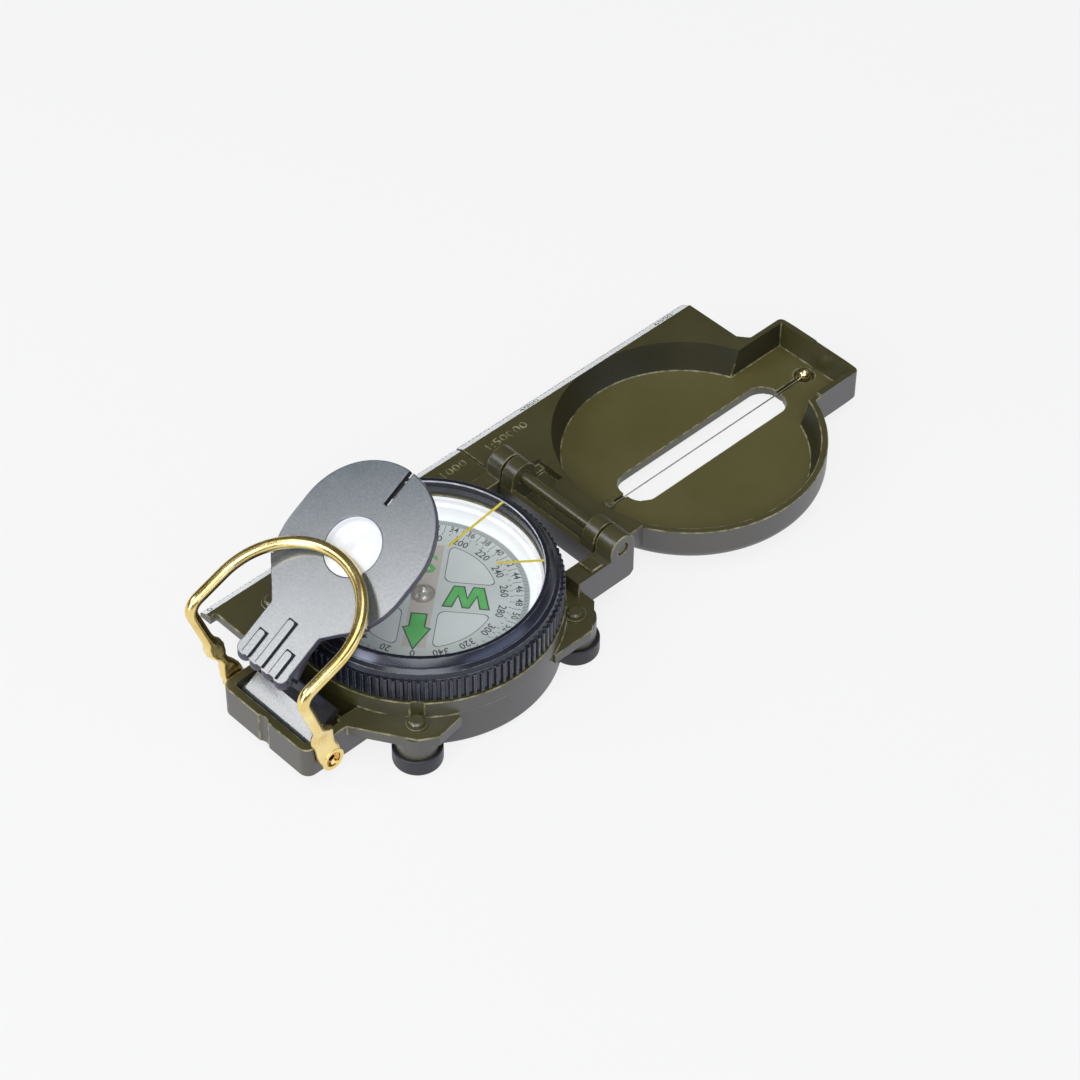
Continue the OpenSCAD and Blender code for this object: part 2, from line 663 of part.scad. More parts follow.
module cover_casting() {
    rear = joint_x + joint_gap;
    clear_x = hinge_x + knuckle_r + 0.8;
    front_bottom = -recess_depth - front_floor_t;
    color([0.31, 0.30, 0.16]) place() difference() {
        union() {
            cover_round();
            translate([0, 0, -plate_t]) linear_extrude(plate_t) polygon([
                [clear_x, 0], [clear_x, far_ear + far_ear_w + 0.6],
                [rear, far_ear + far_ear_w + 3.8], [rear, rule_y], [rule_front, rule_y],
                [rule_front, front_half + 1.9], [rule_front + 1.9, front_half],
                [rule_front + 1.9, 0]]);
            rule_bevel(rear, rule_front - 0.3);
            difference() {
                round_box(cover_x, front_x, front_half, front_bottom, 0, 1.2);
                translate([0, -30, -rim_drop]) cube([rule_front - 0.5, 31, 3]);
            }
            // hinge floor, cross member and the step up to the round
            side_cut(-knuckle_out, knuckle_out) polygon([
                [cross_x, -hinge_floor], [cross_x, cross_top],
                [cross_x + cross_t, cross_top], [cross_x + cross_t, -hinge_floor + 1.5],
                [hinge_x + 2.4, -hinge_floor + 1.5], [hinge_x + 3.6, 0],
                [cover_x - recess_floor_r, 0], [cover_x - recess_floor_r, -hinge_floor - 2],
                [hinge_x + 4.5, -hinge_floor]]);
            for (y = [-knuckle_out, knuckle_in]) {
                across(hinge_x, hinge_z, knuckle_r, y, y + knuckle_w);
                side_cut(y, y + knuckle_w) polygon([
                    [hinge_x - knuckle_r, hinge_z], [cross_x, cross_top - 0.6],
                    [cross_x, -hinge_floor], [hinge_x + knuckle_r + 1, -hinge_floor],
                    [hinge_x + knuckle_r + 1, 0], [hinge_x + knuckle_r, 1.6],
                    [hinge_x + knuckle_r, hinge_z]]);
            }
        }
        // recess
        translate([cover_x, 0, -recess_depth])
            cylinder(r1 = recess_floor_r, r2 = recess_r, h = recess_depth);
        translate([cover_x, 0, -0.01]) cylinder(r = recess_r, h = 3);
        // front tray
        translate([0, 0, -recess_depth]) linear_extrude(recess_depth + 3)
            polygon([[cover_x, -front_half + front_wall], [cover_x, front_half - front_wall],
                [front_x - front_wall, front_half - front_wall],
                [front_x - front_wall, -front_half + front_wall]]);
        translate([front_x - 2.9, -front_half - 1, -0.2]) cube([4, front_half + 1.9, 2]);
        // sighting slot
        translate([0, 0, cover_bottom - 1]) linear_extrude(20)
            slot_shape(slot_rear, slot_front, slot_w);
        // wire grooves
        translate([anchor_rear + 1.3, -0.5, -recess_depth - 0.7])
            cube([slot_rear - anchor_rear, 1, 2]);
        translate([slot_front - 1, -0.5, -recess_depth - 0.7])
            cube([anchor_front - slot_front, 1, 2]);
        translate([anchor_rear, 0, -recess_depth - 1.2]) cylinder(r = 1.15, h = 3);
        translate([anchor_rear, -0.3, -recess_depth - 0.7]) cube([2, 0.6, 2]);
        translate([anchor_front, 0, -recess_depth - 0.8]) cylinder(r1 = 1.5, r2 = 2.2, h = 0.82);
        // pocket beside the far knuckle
        translate([hinge_x + knuckle_r + 1.6, knuckle_in - 2.1, -hinge_floor + 1])
            cube([3.5, 5.1, 5]);
        translate([hinge_x + knuckle_r + 1.6, knuckle_in + 2.9, -plate_t + 0.7])
            cube([3.5, 1.8, 5]);
        // room behind the near knuckle for the ear
        translate([hinge_x + knuckle_r - 1, -knuckle_out - 4, -20]) cube([4.4, 4, 30]);
        across(hinge_x, hinge_z, pin_r + pin_fit, -knuckle_out - 1, knuckle_out + 1);
    }
}

module sighting_wire() {
    color([0.75, 0.68, 0.4]) place() translate([anchor_rear + 0.6, 0, -recess_depth - 0.35])
        rotate([0, 90, 0]) cylinder(r = wire_r, h = anchor_front - anchor_rear - 1.2);
}

module rear_wire_anchor() {
    color([0.75, 0.62, 0.3]) place() difference() {
        translate([anchor_rear, 0, -recess_depth - 1.2]) cylinder(r = 1.05, h = 1.9);
        translate([anchor_rear - 2, 0, -recess_depth - 0.35]) rotate([0, 90, 0])
            cylinder(r = wire_r + 0.03, h = 8);
    }
}

module front_wire_anchor() {
    color([0.85, 0.72, 0.35]) place() difference() {
        translate([anchor_front, 0, -recess_depth - 0.8]) intersection() {
            translate([0, 0, 0.9]) sphere(ball_r);
            cylinder(r = 3, h = 4);
        }
        translate([anchor_front - 4, 0, -recess_depth - 0.35]) rotate([0, 90, 0])
            cylinder(r = wire_r + 0.03, h = 8);
    }
}

// Folded bracket coordinates: the axis at the origin, the leaf level
module at_bracket() {
    translate([-bracket_x, 0, axis_z]) rotate([0, -leaf_tilt, 0]) children();
}

module lens_bracket() {
    low = leaf_h - leaf_t;
    shift = head_len - head_half;
    color([0.42, 0.45, 0.5]) place() at_bracket() difference() {
        union() {
            across(0, 0, barrel_r, -foot_half - 0.5, foot_half + 0.5);
            translate([0, -foot_half, barrel_r - 1.5])
                cube([riser_x + riser_t, 2 * foot_half, 1.5]);
            translate([riser_x, -neck_half, barrel_r - 1.5])
                cube([riser_t, 2 * neck_half, leaf_h - barrel_r + 0.2]);
            translate([0, 0, low]) linear_extrude(leaf_t) {
                translate([lens_u - shift, 0]) circle(head_half);
                translate([lens_u + shift, 0]) circle(head_half);
                translate([lens_u - shift, -head_half]) square([2 * shift, 2 * head_half]);
                polygon([[riser_x, -neck_half], [lens_u - head_len + 0.4, -neck_half],
                    [lens_u - 9.5, -head_half + 1.5], [lens_u - 9.5, head_half - 1.5],
                    [lens_u - head_len + 0.4, neck_half], [riser_x, neck_half]]);
                for (i = [-1.5 : 1.5]) translate([riser_x + 0.5, i * rib_pitch * 0.9])
                    circle(rib_pitch * 0.45);
            }
            for (i = [-1 : 1]) translate([riser_x - 0.6, i * rib_pitch - rib_w / 2, leaf_h - 0.5])
                cube([i == 0 ? 9.8 : 5.3, rib_w, 0.5 + rib_h]);
        }
        translate([lens_u, 0, low - 1]) cylinder(r = lens_r - 0.4, h = leaf_t + 3);
        translate([lens_u, 0, low + 0.3]) cylinder(r = lens_r + 0.04, h = leaf_t + 3);
        translate([lens_u + head_len - sight_len, -sight_w / 2, low - 1])
            cube([sight_len + 3, sight_w, leaf_t + 3]);
        across(0, 0, bracket_pin_r + pin_fit, -foot_half - 3, foot_half + 3);
    }
}

module magnifying_lens() {
    low = leaf_h - leaf_t + 0.3;
    mid = low + 0.5;
    bulge = 40;
    color([0.85, 0.93, 0.97, 0.4]) place() at_bracket() translate([lens_u, 0, 0])
        intersection() {
            translate([0, 0, low]) cylinder(r = lens_r, h = 3);
            translate([0, 0, mid + 0.9 - bulge]) sphere(bulge, $fn = 200);
        }
}

module bracket_pin() {
    color([0.7, 0.7, 0.72]) place() difference() {
        across(-bracket_x, axis_z, bracket_pin_r, -eye_out - 0.2, eye_out + 0.2);
        for (s = [-1, 1]) across(-bracket_x, axis_z, bracket_pin_r * 0.54,
            s > 0 ? eye_out - 3.2 * bracket_pin_r : -eye_out - 1,
            s > 0 ? eye_out + 1 : -eye_out + 3.2 * bracket_pin_r);
    }
}

module loop_screws() {
    start = eye_out + 0.2;
    head = bracket_pin_r / 1.2;
    color([0.86, 0.66, 0.28]) place() for (s = [0, 1]) mirror([0, s, 0]) difference() {
        union() {
            across(-bracket_x, axis_z, 2 * head, start, start + head);
            across(-bracket_x, axis_z, 0.6 * head, start - 3.5 * head, start + 0.5 * head);
        }
        translate([-bracket_x, start + 1.2 * head, axis_z]) rotate([90, 0, 0])
            cylinder(r = 0.9 * head, h = 0.9 * head, $fn = 6);
    }
}

// A round tube along a list of points, thinner at its two ends
module tube(path, r, end_r, sides = 12) {
    last = len(path) - 1;
    halfway = [cos((arch_lean - leg_lean) / 2), 0, -sin((arch_lean - leg_lean) / 2)];
    polyhedron(
        points = [for (i = [0 : last]) let (
                t = path[min(i + 1, last)] - path[max(i - 1, 0)],
                u = cross(t, halfway) / norm(cross(t, halfway)),
                v = cross(u, t) / norm(t),
                size = i == 0 || i == last ? end_r : r)
            for (k = [0 : sides - 1]) let (a = k * 360 / sides)
                path[i] + size * (cos(a) * u + sin(a) * v)],
        faces = concat(
            [[for (k = [sides - 1 : -1 : 0]) k]],
            [for (i = [0 : last - 1], k = [0 : sides - 1]) let (n = (k + 1) % sides)
                each [[i * sides + k, i * sides + n, (i + 1) * sides + k],
                    [i * sides + n, (i + 1) * sides + n, (i + 1) * sides + k]]],
            [[for (k = [0 : sides - 1]) last * sides + k]]));
}

module thumb_loop() {
    color([0.86, 0.66, 0.22]) place() difference() {
        union() {
            tube(loop_path, loop_r, eye_t / 2 - 0.1);
            for (y = [-eye_out, eye_in]) {
                across(-bracket_x, axis_z, eye_r, y, y + eye_t);
                across(-bracket_x + leg[0] * eye_r, axis_z + leg[2] * eye_r, eye_r * 0.8,
                    y + 0.1, y + eye_t - 0.1);
            }
        }
        for (y = [-eye_out, eye_in])
            across(-bracket_x, axis_z, bracket_pin_r + pin_fit, y - 1, y + eye_t + 1);
    }
}

base_casting();
foot_rivets();
foot_washers();
rubber_feet();
capsule_bowl();
capsule_lid();
pivot_post();
bezel_snap_ring();
hinge_pin();
bracket_pin();
loop_screws();
bezel_ring();
bezel_glass();
glass_retainer();
marching_lines();
compass_card();
jewel_cup();
magnet_bar();
cover_casting();
sighting_wire();
rear_wire_anchor();
front_wire_anchor();
lens_bracket();
magnifying_lens();
thumb_loop();
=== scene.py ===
import math

import bmesh
import bpy
from mathutils import Matrix, Vector
from mathutils.bvhtree import BVHTree
from mathutils.geometry import intersect_point_line
from mathutils.kdtree import KDTree


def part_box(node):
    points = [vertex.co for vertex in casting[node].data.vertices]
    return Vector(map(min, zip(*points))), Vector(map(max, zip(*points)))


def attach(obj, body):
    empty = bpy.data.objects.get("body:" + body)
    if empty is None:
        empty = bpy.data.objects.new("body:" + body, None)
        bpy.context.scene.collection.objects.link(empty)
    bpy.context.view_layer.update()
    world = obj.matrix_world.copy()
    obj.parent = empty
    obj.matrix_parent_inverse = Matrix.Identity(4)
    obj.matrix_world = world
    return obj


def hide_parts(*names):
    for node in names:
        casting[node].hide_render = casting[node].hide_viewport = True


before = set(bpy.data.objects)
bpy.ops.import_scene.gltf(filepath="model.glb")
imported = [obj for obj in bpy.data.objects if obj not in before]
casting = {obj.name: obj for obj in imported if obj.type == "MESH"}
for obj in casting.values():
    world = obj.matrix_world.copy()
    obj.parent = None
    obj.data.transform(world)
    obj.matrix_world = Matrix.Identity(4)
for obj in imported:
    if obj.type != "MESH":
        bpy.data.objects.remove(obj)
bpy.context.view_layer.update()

# Camera: a long lens from the front left and 45 degrees up, as the open
# compass was photographed. Places here and below are in millimetres about the
# dial's axis, with the ruler's top face at height 0, until a piece is settled.
CARD_FACE = 3.2
low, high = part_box("compass_card")
ORIGIN = Vector((500 * (low.x + high.x), 500 * (low.y + high.y), 1000 * high.z - CARD_FACE))
camera_place = (Vector((-280.47, -321.25, 440.84)) + ORIGIN) / 1000
bpy.ops.object.select_all(action="DESELECT")
bpy.ops.object.camera_add(location=camera_place)
camera = bpy.context.object
camera.name = "camera"
forward = Vector((0.4922, 0.5105, -0.7050)).normalized()
side = forward.cross(Vector((0, 0, 1))).normalized()
above = side.cross(forward)
lean = math.radians(0.456)
side, above = (side * math.cos(lean) + above * math.sin(lean),
               above * math.cos(lean) - side * math.sin(lean))
camera.rotation_euler = Matrix((side, above, -forward)).transposed().to_euler()
camera.data.lens = 112.315
camera.data.sensor_width = 36
camera.data.clip_start, camera.data.clip_end = 0.05, 20
bpy.context.scene.camera = camera

# Studio: a pale table that runs on out of sight and a dim room. A large soft
# box hangs on the camera's side, a small one shines on the leaf from the far
# left, and the others fill the top, the near side and the left side.
GLOW_SHARE = 0.85
bpy.ops.mesh.primitive_plane_add(size=6, location=(0, 0, 0))
table = bpy.context.object
table.name = "table"
paper = bpy.data.materials.new("pale_paper")
paper.use_nodes = True
nodes, links = paper.node_tree.nodes, paper.node_tree.links
nodes.clear()
out = nodes.new("ShaderNodeOutputMaterial")
lit = nodes.new("ShaderNodeBsdfDiffuse")
lit.inputs["Color"].default_value = (0.62, 0.62, 0.63, 1)
glow = nodes.new("ShaderNodeEmission")
glow.inputs["Color"].default_value = (1.0, 1.0, 1.0, 1)
glow.inputs["Strength"].default_value = 0.975
ray = nodes.new("ShaderNodeLightPath")
seen = ray.outputs["Is Camera Ray"]
for kind in ("Is Glossy Ray", "Is Transmission Ray"):
    either = nodes.new("ShaderNodeMath")
    either.operation = "MAXIMUM"
    links.new(seen, either.inputs[0])
    links.new(ray.outputs[kind], either.inputs[1])
    seen = either.outputs[0]
share = nodes.new("ShaderNodeMath")
share.operation = "MULTIPLY"
share.inputs[1].default_value = GLOW_SHARE
links.new(seen, share.inputs[0])
both = nodes.new("ShaderNodeMixShader")
links.new(share.outputs[0], both.inputs[0])
links.new(lit.outputs[0], both.inputs[1])
links.new(glow.outputs[0], both.inputs[2])
links.new(both.outputs[0], out.inputs[0])
table.data.materials.append(paper)

world = bpy.data.worlds.new("studio")
bpy.context.scene.world = world
world.use_nodes = True
sky = world.node_tree.nodes["Background"]
sky.inputs["Color"].default_value = (0.93, 0.96, 1.0, 1)
sky.inputs["Strength"].default_value = 0.1


def soft_box(name, place, size, power, tint=(1, 1, 1), along=(1, 0, 0)):
    """A rectangular lamp aimed at the compass, its first edge along a direction."""
    bpy.ops.object.light_add(type="AREA", location=place)
    lamp = bpy.context.object
    lamp.name = name
    lamp.data.shape = "RECTANGLE"
    lamp.data.size, lamp.data.size_y = size
    lamp.data.energy = power
    lamp.data.color = tint
    back = Vector(place).normalized()
    across = back.cross(Vector(along)).normalized()
    lamp.rotation_euler = Matrix((across.cross(back), across, back)).transposed().to_euler()


soft_box("leaf_box", (-0.319, 0.208, 0.35), (0.16, 0.18), 0.6, along=(0.82, 0.57, 0))
soft_box("front_box", (-0.62, -0.62, 0.95), (0.8, 0.8), 9)
soft_box("top_box", (0.1, -0.15, 1.1), (0.7, 0.7), 3.5)
soft_box("near_box", (0.25, -1.0, 0.35), (1.0, 0.4), 3.2, (0.62, 0.70, 1))
soft_box("left_box", (-1.0, -0.05, 0.35), (0.6, 0.35), 6, (0.80, 0.85, 1))
bpy.context.scene.view_settings.view_transform = "Standard"

# Case casting: die cast in light alloy and sprayed olive. Its rounded edges are
# painted pale, as worn paint and as a painted highlight, and its steep sides take
# a copy of the paint with a stronger, bluer painted reflection.
BROAD, FINE, DEPTH = 60.0, 900.0, 0.2
SHARP = math.radians(35)
TRIES = 7
STEEP = 0.4


def alone(piece):
    """Leaves the piece as the only selected and active one."""
    bpy.ops.object.select_all(action="DESELECT")
    piece.select_set(True)
    bpy.context.view_layer.objects.active = piece


def grain():
    """The unevenness of sprayed and cast surfaces, shared by many finishes."""
    tree = bpy.data.node_groups.new("surface_grain", "ShaderNodeTree")
    for name, value in (("Broad Scale", BROAD), ("Fine Scale", FINE), ("Depth", DEPTH)):
        tree.interface.new_socket(name=name, in_out="INPUT",
                                  socket_type="NodeSocketFloat").default_value = value
    for name, kind in (("Mottle", "NodeSocketFloat"), ("Speck", "NodeSocketFloat"),
                       ("Normal", "NodeSocketVector")):
        tree.interface.new_socket(name=name, in_out="OUTPUT", socket_type=kind)
    nodes, links = tree.nodes, tree.links
    given = nodes.new("NodeGroupInput")
    result = nodes.new("NodeGroupOutput")
    coords = nodes.new("ShaderNodeTexCoord")
    for name, detail, span in (("Broad", 5, (0.3, 0.7)), ("Fine", 3, (0.4, 0.65))):
        noise = nodes.new("ShaderNodeTexNoise")
        noise.inputs["Detail"].default_value = detail
        noise.inputs["Roughness"].default_value = 0.6
        links.new(coords.outputs["Object"], noise.inputs["Vector"])
        links.new(given.outputs[name + " Scale"], noise.inputs["Scale"])
        spread = nodes.new("ShaderNodeMapRange")
        spread.inputs["From Min"].default_value = span[0]
        spread.inputs["From Max"].default_value = span[1]
        links.new(noise.outputs["Fac"], spread.inputs["Value"])
        links.new(spread.outputs[0], result.inputs["Mottle" if name == "Broad" else "Speck"])
    bump = nodes.new("ShaderNodeBump")
    bump.inputs["Distance"].default_value = 0.0001
    links.new(given.outputs["Depth"], bump.inputs["Strength"])
    links.new(noise.outputs["Fac"], bump.inputs["Height"])
    links.new(bump.outputs[0], result.inputs["Normal"])
    return tree


surface_grain = grain()


def finish(name, dark, light, rough, mask="Mottle", broad=BROAD, fine=FINE, depth=DEPTH,
           **sockets):
    """A finish whose colour and gloss vary with the grain."""
    paint = bpy.data.materials.new(name)
    paint.use_nodes = True
    nodes, links = paint.node_tree.nodes, paint.node_tree.links
    shader = nodes["Principled BSDF"]
    uneven = nodes.new("ShaderNodeGroup")
    uneven.node_tree = surface_grain
    uneven.inputs["Broad Scale"].default_value = broad
    uneven.inputs["Fine Scale"].default_value = fine
    uneven.inputs["Depth"].default_value = depth
    tone = nodes.new("ShaderNodeMix")
    tone.data_type = "RGBA"
    tone.inputs["A"].default_value = (*dark, 1)
    tone.inputs["B"].default_value = (*light, 1)
    links.new(uneven.outputs[mask], tone.inputs["Factor"])
    links.new(tone.outputs["Result"], shader.inputs["Base Color"])
    gloss = nodes.new("ShaderNodeMapRange")
    gloss.inputs["To Min"].default_value = rough[0]
    gloss.inputs["To Max"].default_value = rough[1]
    links.new(uneven.outputs["Mottle"], gloss.inputs["Value"])
    links.new(gloss.outputs[0], shader.inputs["Roughness"])
    links.new(uneven.outputs["Normal"], shader.inputs["Normal"])
    for key, value in sockets.items():
        shader.inputs[key.replace("_", " ")].default_value = value
    return paint


def rounded_copy(node, name, width, finishes, steps=2):
    """A node's shape with its edges rounded, as the mould and the paint leave
    them; an edge beside a place too narrow to be rounded stays as it was. The
    width is in millimetres, and the limits are in metres or square metres."""
    too_far, on_surface, reach = width * 6e-4, 3e-5, width * 1.3e-3
    too_small = 1e-9
    raw = casting[node].data
    surface = BVHTree.FromPolygons([v.co for v in raw.vertices],
                                   [f.vertices for f in raw.polygons])
    piece = bpy.data.objects.new(name, raw.copy())
    bpy.context.scene.collection.objects.link(piece)
    piece.data.materials.clear()
    for one in finishes:
        piece.data.materials.append(one)
    alone(piece)
    bpy.ops.object.mode_set(mode="EDIT")
    bpy.ops.mesh.select_all(action="SELECT")
    bpy.ops.mesh.customdata_custom_splitnormals_clear()
    bpy.ops.mesh.remove_doubles(threshold=2e-6)
    bpy.ops.mesh.dissolve_limited(angle_limit=math.radians(0.05))
    bpy.ops.object.mode_set(mode="OBJECT")
    plain = piece.data
    for face in plain.polygons:
        face.material_index = 0
    shape = bmesh.new()
    shape.from_mesh(plain)
    sharp = {edge.index: [v.co.copy() for v in edge.verts] for edge in shape.edges
             if edge.calc_face_angle(0) > SHARP}
    shape.free()
    plain.attributes.new("bevel_weight_edge", "FLOAT", "EDGE")
    for _ in range(TRIES):
        for edge in plain.edges:
            plain.attributes["bevel_weight_edge"].data[edge.index].value = edge.index in sharp
        piece.data = plain.copy()
        rim = piece.modifiers.new("rounding", "BEVEL")
        rim.width = width / 1000
        rim.segments = steps
        rim.limit_method = "WEIGHT"
        rim.use_clamp_overlap = False
        rim.miter_outer = "MITER_ARC"
        # The rounded faces take the second finish: worn paint and a painted highlight on the
        # castings and the bezel, a painted sheen on the leaf.
        rim.material = min(len(finishes) - 1, 1)
        bpy.ops.object.modifier_apply(modifier="rounding")
        wrong = []
        piece.data.calc_loop_triangles()
        for tri in piece.data.loop_triangles:
            corners = [piece.data.vertices[i].co for i in tri.vertices]
            _, normal, _, gap = surface.find_nearest(sum(corners, Vector()) / 3)
            turned = gap < on_surface and tri.normal.dot(normal) < 0
            if tri.area > too_small and (gap > too_far or turned):
                wrong += corners
        places = KDTree(len(wrong))
        for number, place in enumerate(wrong):
            places.insert(place, number)
        places.balance()
        crowded = []
        for index, (start, end) in sharp.items():
            half = (end - start).length / 2
            for place, _, _ in places.find_range((start + end) / 2, half + reach):
                share = min(max(intersect_point_line(place, start, end)[1], 0), 1)
                if (place - start.lerp(end, share)).length < reach:
                    crowded.append(index)
                    break
        if not crowded:
            break
        for index in crowded:
            del sharp[index]
    bpy.ops.object.shade_smooth_by_angle(angle=math.radians(32))
    even = piece.modifiers.new("flat_faces", "WEIGHTED_NORMAL")
    even.keep_sharp = True
    bpy.ops.object.modifier_apply(modifier="flat_faces")
    return piece


def dress(node, piece, body):
    """The piece stands in for its node, where it already lies in place."""
    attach(piece, body)
    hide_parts(node)


OLIVE_DARK, OLIVE_LIGHT = (0.050, 0.046, 0.012), (0.064, 0.058, 0.016)
OLIVE_ROUGH = (0.3, 0.4)
OLIVE_GRAIN = {"fine": 1400, "depth": 0.12}
olive = finish("olive_paint", OLIVE_DARK, OLIVE_LIGHT, OLIVE_ROUGH, IOR=1.75,
               Specular_Tint=(0.85, 0.85, 1, 1), **OLIVE_GRAIN)
# The edge paint is paler than the faces, as worn paint and as a painted highlight.
olive_wear_highlight = finish("olive_worn_edge_highlight", (0.075, 0.069, 0.022), (0.30, 0.27, 0.15), (0.25, 0.45),
                    mask="Speck", broad=300, fine=500, depth=0.3, IOR=1.7)
# A copy of the paint for steep faces, with a stronger, bluer reflection: a painted reflection of
# the room.
olive_side_sheen = finish("olive_side_sheen", OLIVE_DARK, OLIVE_LIGHT, OLIVE_ROUGH, IOR=2.0,
                    Specular_Tint=(0.68, 0.69, 1, 1), **OLIVE_GRAIN)
case = rounded_copy("base_casting", "case_casting", 0.22, (olive, olive_wear_highlight))
case.data.materials.append(olive_side_sheen)
for face in case.data.polygons:
    if face.material_index == 0 and abs(face.normal.z) < STEEP:
        face.material_index = 2
dress("base_casting", case, "case")

# Feet: moulded caps of black rubber under the case's posts, each held by an
# olive rivet and a thin washer.
rubber = finish("black_rubber", (0.012, 0.012, 0.016), (0.024, 0.024, 0.030), (0.35, 0.55))
for node, width in (("foot_rivets", 0.25), ("foot_washers", 0.1)):
    part = rounded_copy(node, node + "_turned", width, (olive, olive_wear_highlight))
    dress(node, part, "case")
part = rounded_copy("rubber_feet", "rubber_caps", 0.3, (rubber,), steps=3)
dress("rubber_feet", part, "case")

# Capsule: a white moulded bowl under a clear lid, with the steel needle that
# the card turns on; a sprung steel ring around it keeps the bezel on.
# The bowl's white glows a little of itself, a painted light.
white_bowl = finish("white_bowl", (0.90, 0.92, 0.92), (0.95, 0.96, 0.96), (0.12, 0.22), depth=0.03,
                    Emission_Color=(0.96, 0.98, 1, 1), Emission_Strength=0.3)
steel = finish("ground_steel", (0.5, 0.5, 0.52), (0.62, 0.62, 0.64), (0.2, 0.35), Metallic=1.0)


def clear(name, tint, alpha, rough):
    """A see-through finish with a little tint of its own."""
    glass = bpy.data.materials.new(name)
    glass.use_nodes = True
    shader = glass.node_tree.nodes["Principled BSDF"]
    shader.inputs["Base Color"].default_value = (*tint, 1)
    shader.inputs["Roughness"].default_value = rough
    shader.inputs["Alpha"].default_value = alpha
    shader.inputs["IOR"].default_value = 1.5
    return glass


def skin(node, material):
    """A node that keeps its own shape takes its finish."""
    casting[node].data.materials.clear()
    casting[node].data.materials.append(material)


skin("capsule_bowl", white_bowl)
skin("capsule_lid", clear("lid_plastic", (0.9, 0.93, 0.93), 0.02, 0.08))
skin("pivot_post", steel)
skin("bezel_snap_ring", steel)

# Card: a thin pale disc, printed with degrees, a mil scale outside them, four
# windows and the green quarter letters; it floats on the needle by its jewel.
NORTH = math.radians(-140)
MILS = 64
DEGREE_R, DEGREE_SIZE, DEGREE_TICKS = 14.6, 2.15, 72
MIL_R, MIL_SIZE = 17.45, 1.95
TICK_THICK = 0.02
ink_level = CARD_FACE + 0.01
dial_face = finish("dial_face", (0.58, 0.64, 0.63), (0.64, 0.70, 0.69), (0.4, 0.5), depth=0.02)
dial_window = finish("dial_window", (0.66, 0.73, 0.72), (0.72, 0.78, 0.77), (0.3, 0.4), depth=0.02)
dial_ink = finish("dial_ink", (0.02, 0.023, 0.03), (0.05, 0.054, 0.06), (0.5, 0.6), broad=400)
dial_haze = finish("dial_haze", (0.12, 0.13, 0.135), (0.24, 0.25, 0.255), (0.5, 0.6), broad=500)
dial_line = finish("dial_line", (0.008, 0.05, 0.012), (0.015, 0.075, 0.02), (0.4, 0.5), broad=300)
dial_green = finish("dial_green", (0.04, 0.46, 0.06), (0.09, 0.58, 0.11), (0.4, 0.5), broad=300)
skin("compass_card", dial_face)
skin("magnet_bar", steel)


def settle(piece, body, slot, *nodes):
    """Into the compass's own frame, on its body, in its slot."""
    bpy.context.view_layer.update()
    place = Matrix.Scale(0.001, 4) @ Matrix.Translation(ORIGIN) @ piece.matrix_world
    piece.data.transform(place)
    piece.matrix_world = Matrix.Identity(4)
    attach(piece, body)
    if nodes:
        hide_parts(*nodes)


def printed(name, ink, pieces):
    """Joins prints or parts into one piece in one finish and closes their seams."""
    bpy.ops.object.select_all(action="DESELECT")
    for piece in pieces:
        piece.select_set(True)
    bpy.context.view_layer.objects.active = pieces[0]
    if len(pieces) > 1:
        bpy.ops.object.join()
    whole = bpy.context.view_layer.objects.active
    whole.name = name
    bpy.ops.object.transform_apply(location=True, rotation=True, scale=True)
    bpy.ops.object.mode_set(mode="EDIT")
    bpy.ops.mesh.select_all(action="SELECT")
    bpy.ops.mesh.remove_doubles(threshold=0.0004)
    bpy.ops.mesh.normals_make_consistent(inside=False)
    bpy.ops.object.mode_set(mode="OBJECT")
    whole.data.materials.clear()
    whole.data.materials.append(ink)
    return whole


def block(place, size, lean=(0, 0, 0)):
    """A box by its middle, its size and its lean."""
    bpy.ops.object.select_all(action="DESELECT")
    bpy.ops.mesh.primitive_cube_add(size=1, location=place)
    box = bpy.context.object
    box.scale = size
    box.rotation_euler = lean
    bpy.ops.object.transform_apply(location=True, rotation=True, scale=True)
    return box


def tick_ring(inner, outer, width, count, skip=0):
    """One tick, then the rest of the ring spun from it."""
    tick = block(((inner + outer) / 2, 0, ink_level), (outer - inner, width, TICK_THICK))
    tick.data.transform(Matrix.Rotation(NORTH + skip * math.tau / count / 2, 4, "Z"))
    bpy.ops.object.mode_set(mode="EDIT")
    bpy.ops.mesh.select_all(action="SELECT")
    bpy.ops.mesh.spin(steps=count - 1, dupli=True, angle=math.tau * (count - 1) / count,
                      center=(0, 0, 0), axis=(0, 0, 1))
    bpy.ops.object.mode_set(mode="OBJECT")
    return tick


def figure(words, size, place, turn, thick=0.01, stretch=1.0, fat=0.0):
    """A printed figure, centred at its place and turned about the upright."""
    bpy.ops.object.select_all(action="DESELECT")
    bpy.ops.object.text_add(location=place, rotation=(0, 0, turn))
    text = bpy.context.object
    text.data.body = words
    text.data.size = size
    text.data.align_x, text.data.align_y = "CENTER", "CENTER"
    text.data.extrude = thick
    text.data.offset = fat
    text.data.resolution_u = 2
    text.scale = (stretch, 1, 1)
    bpy.ops.object.convert(target="MESH")
    return bpy.context.object


def ringed(words, radius, heading, size, stretch):
    """A figure on a ring of the card, its top outwards, at a heading in degrees."""
    angle = NORTH - math.radians(heading)
    place = (radius * math.cos(angle), radius * math.sin(angle), ink_level)
    return figure(words, size, place, angle - math.pi / 2, stretch=stretch, fat=0.02)


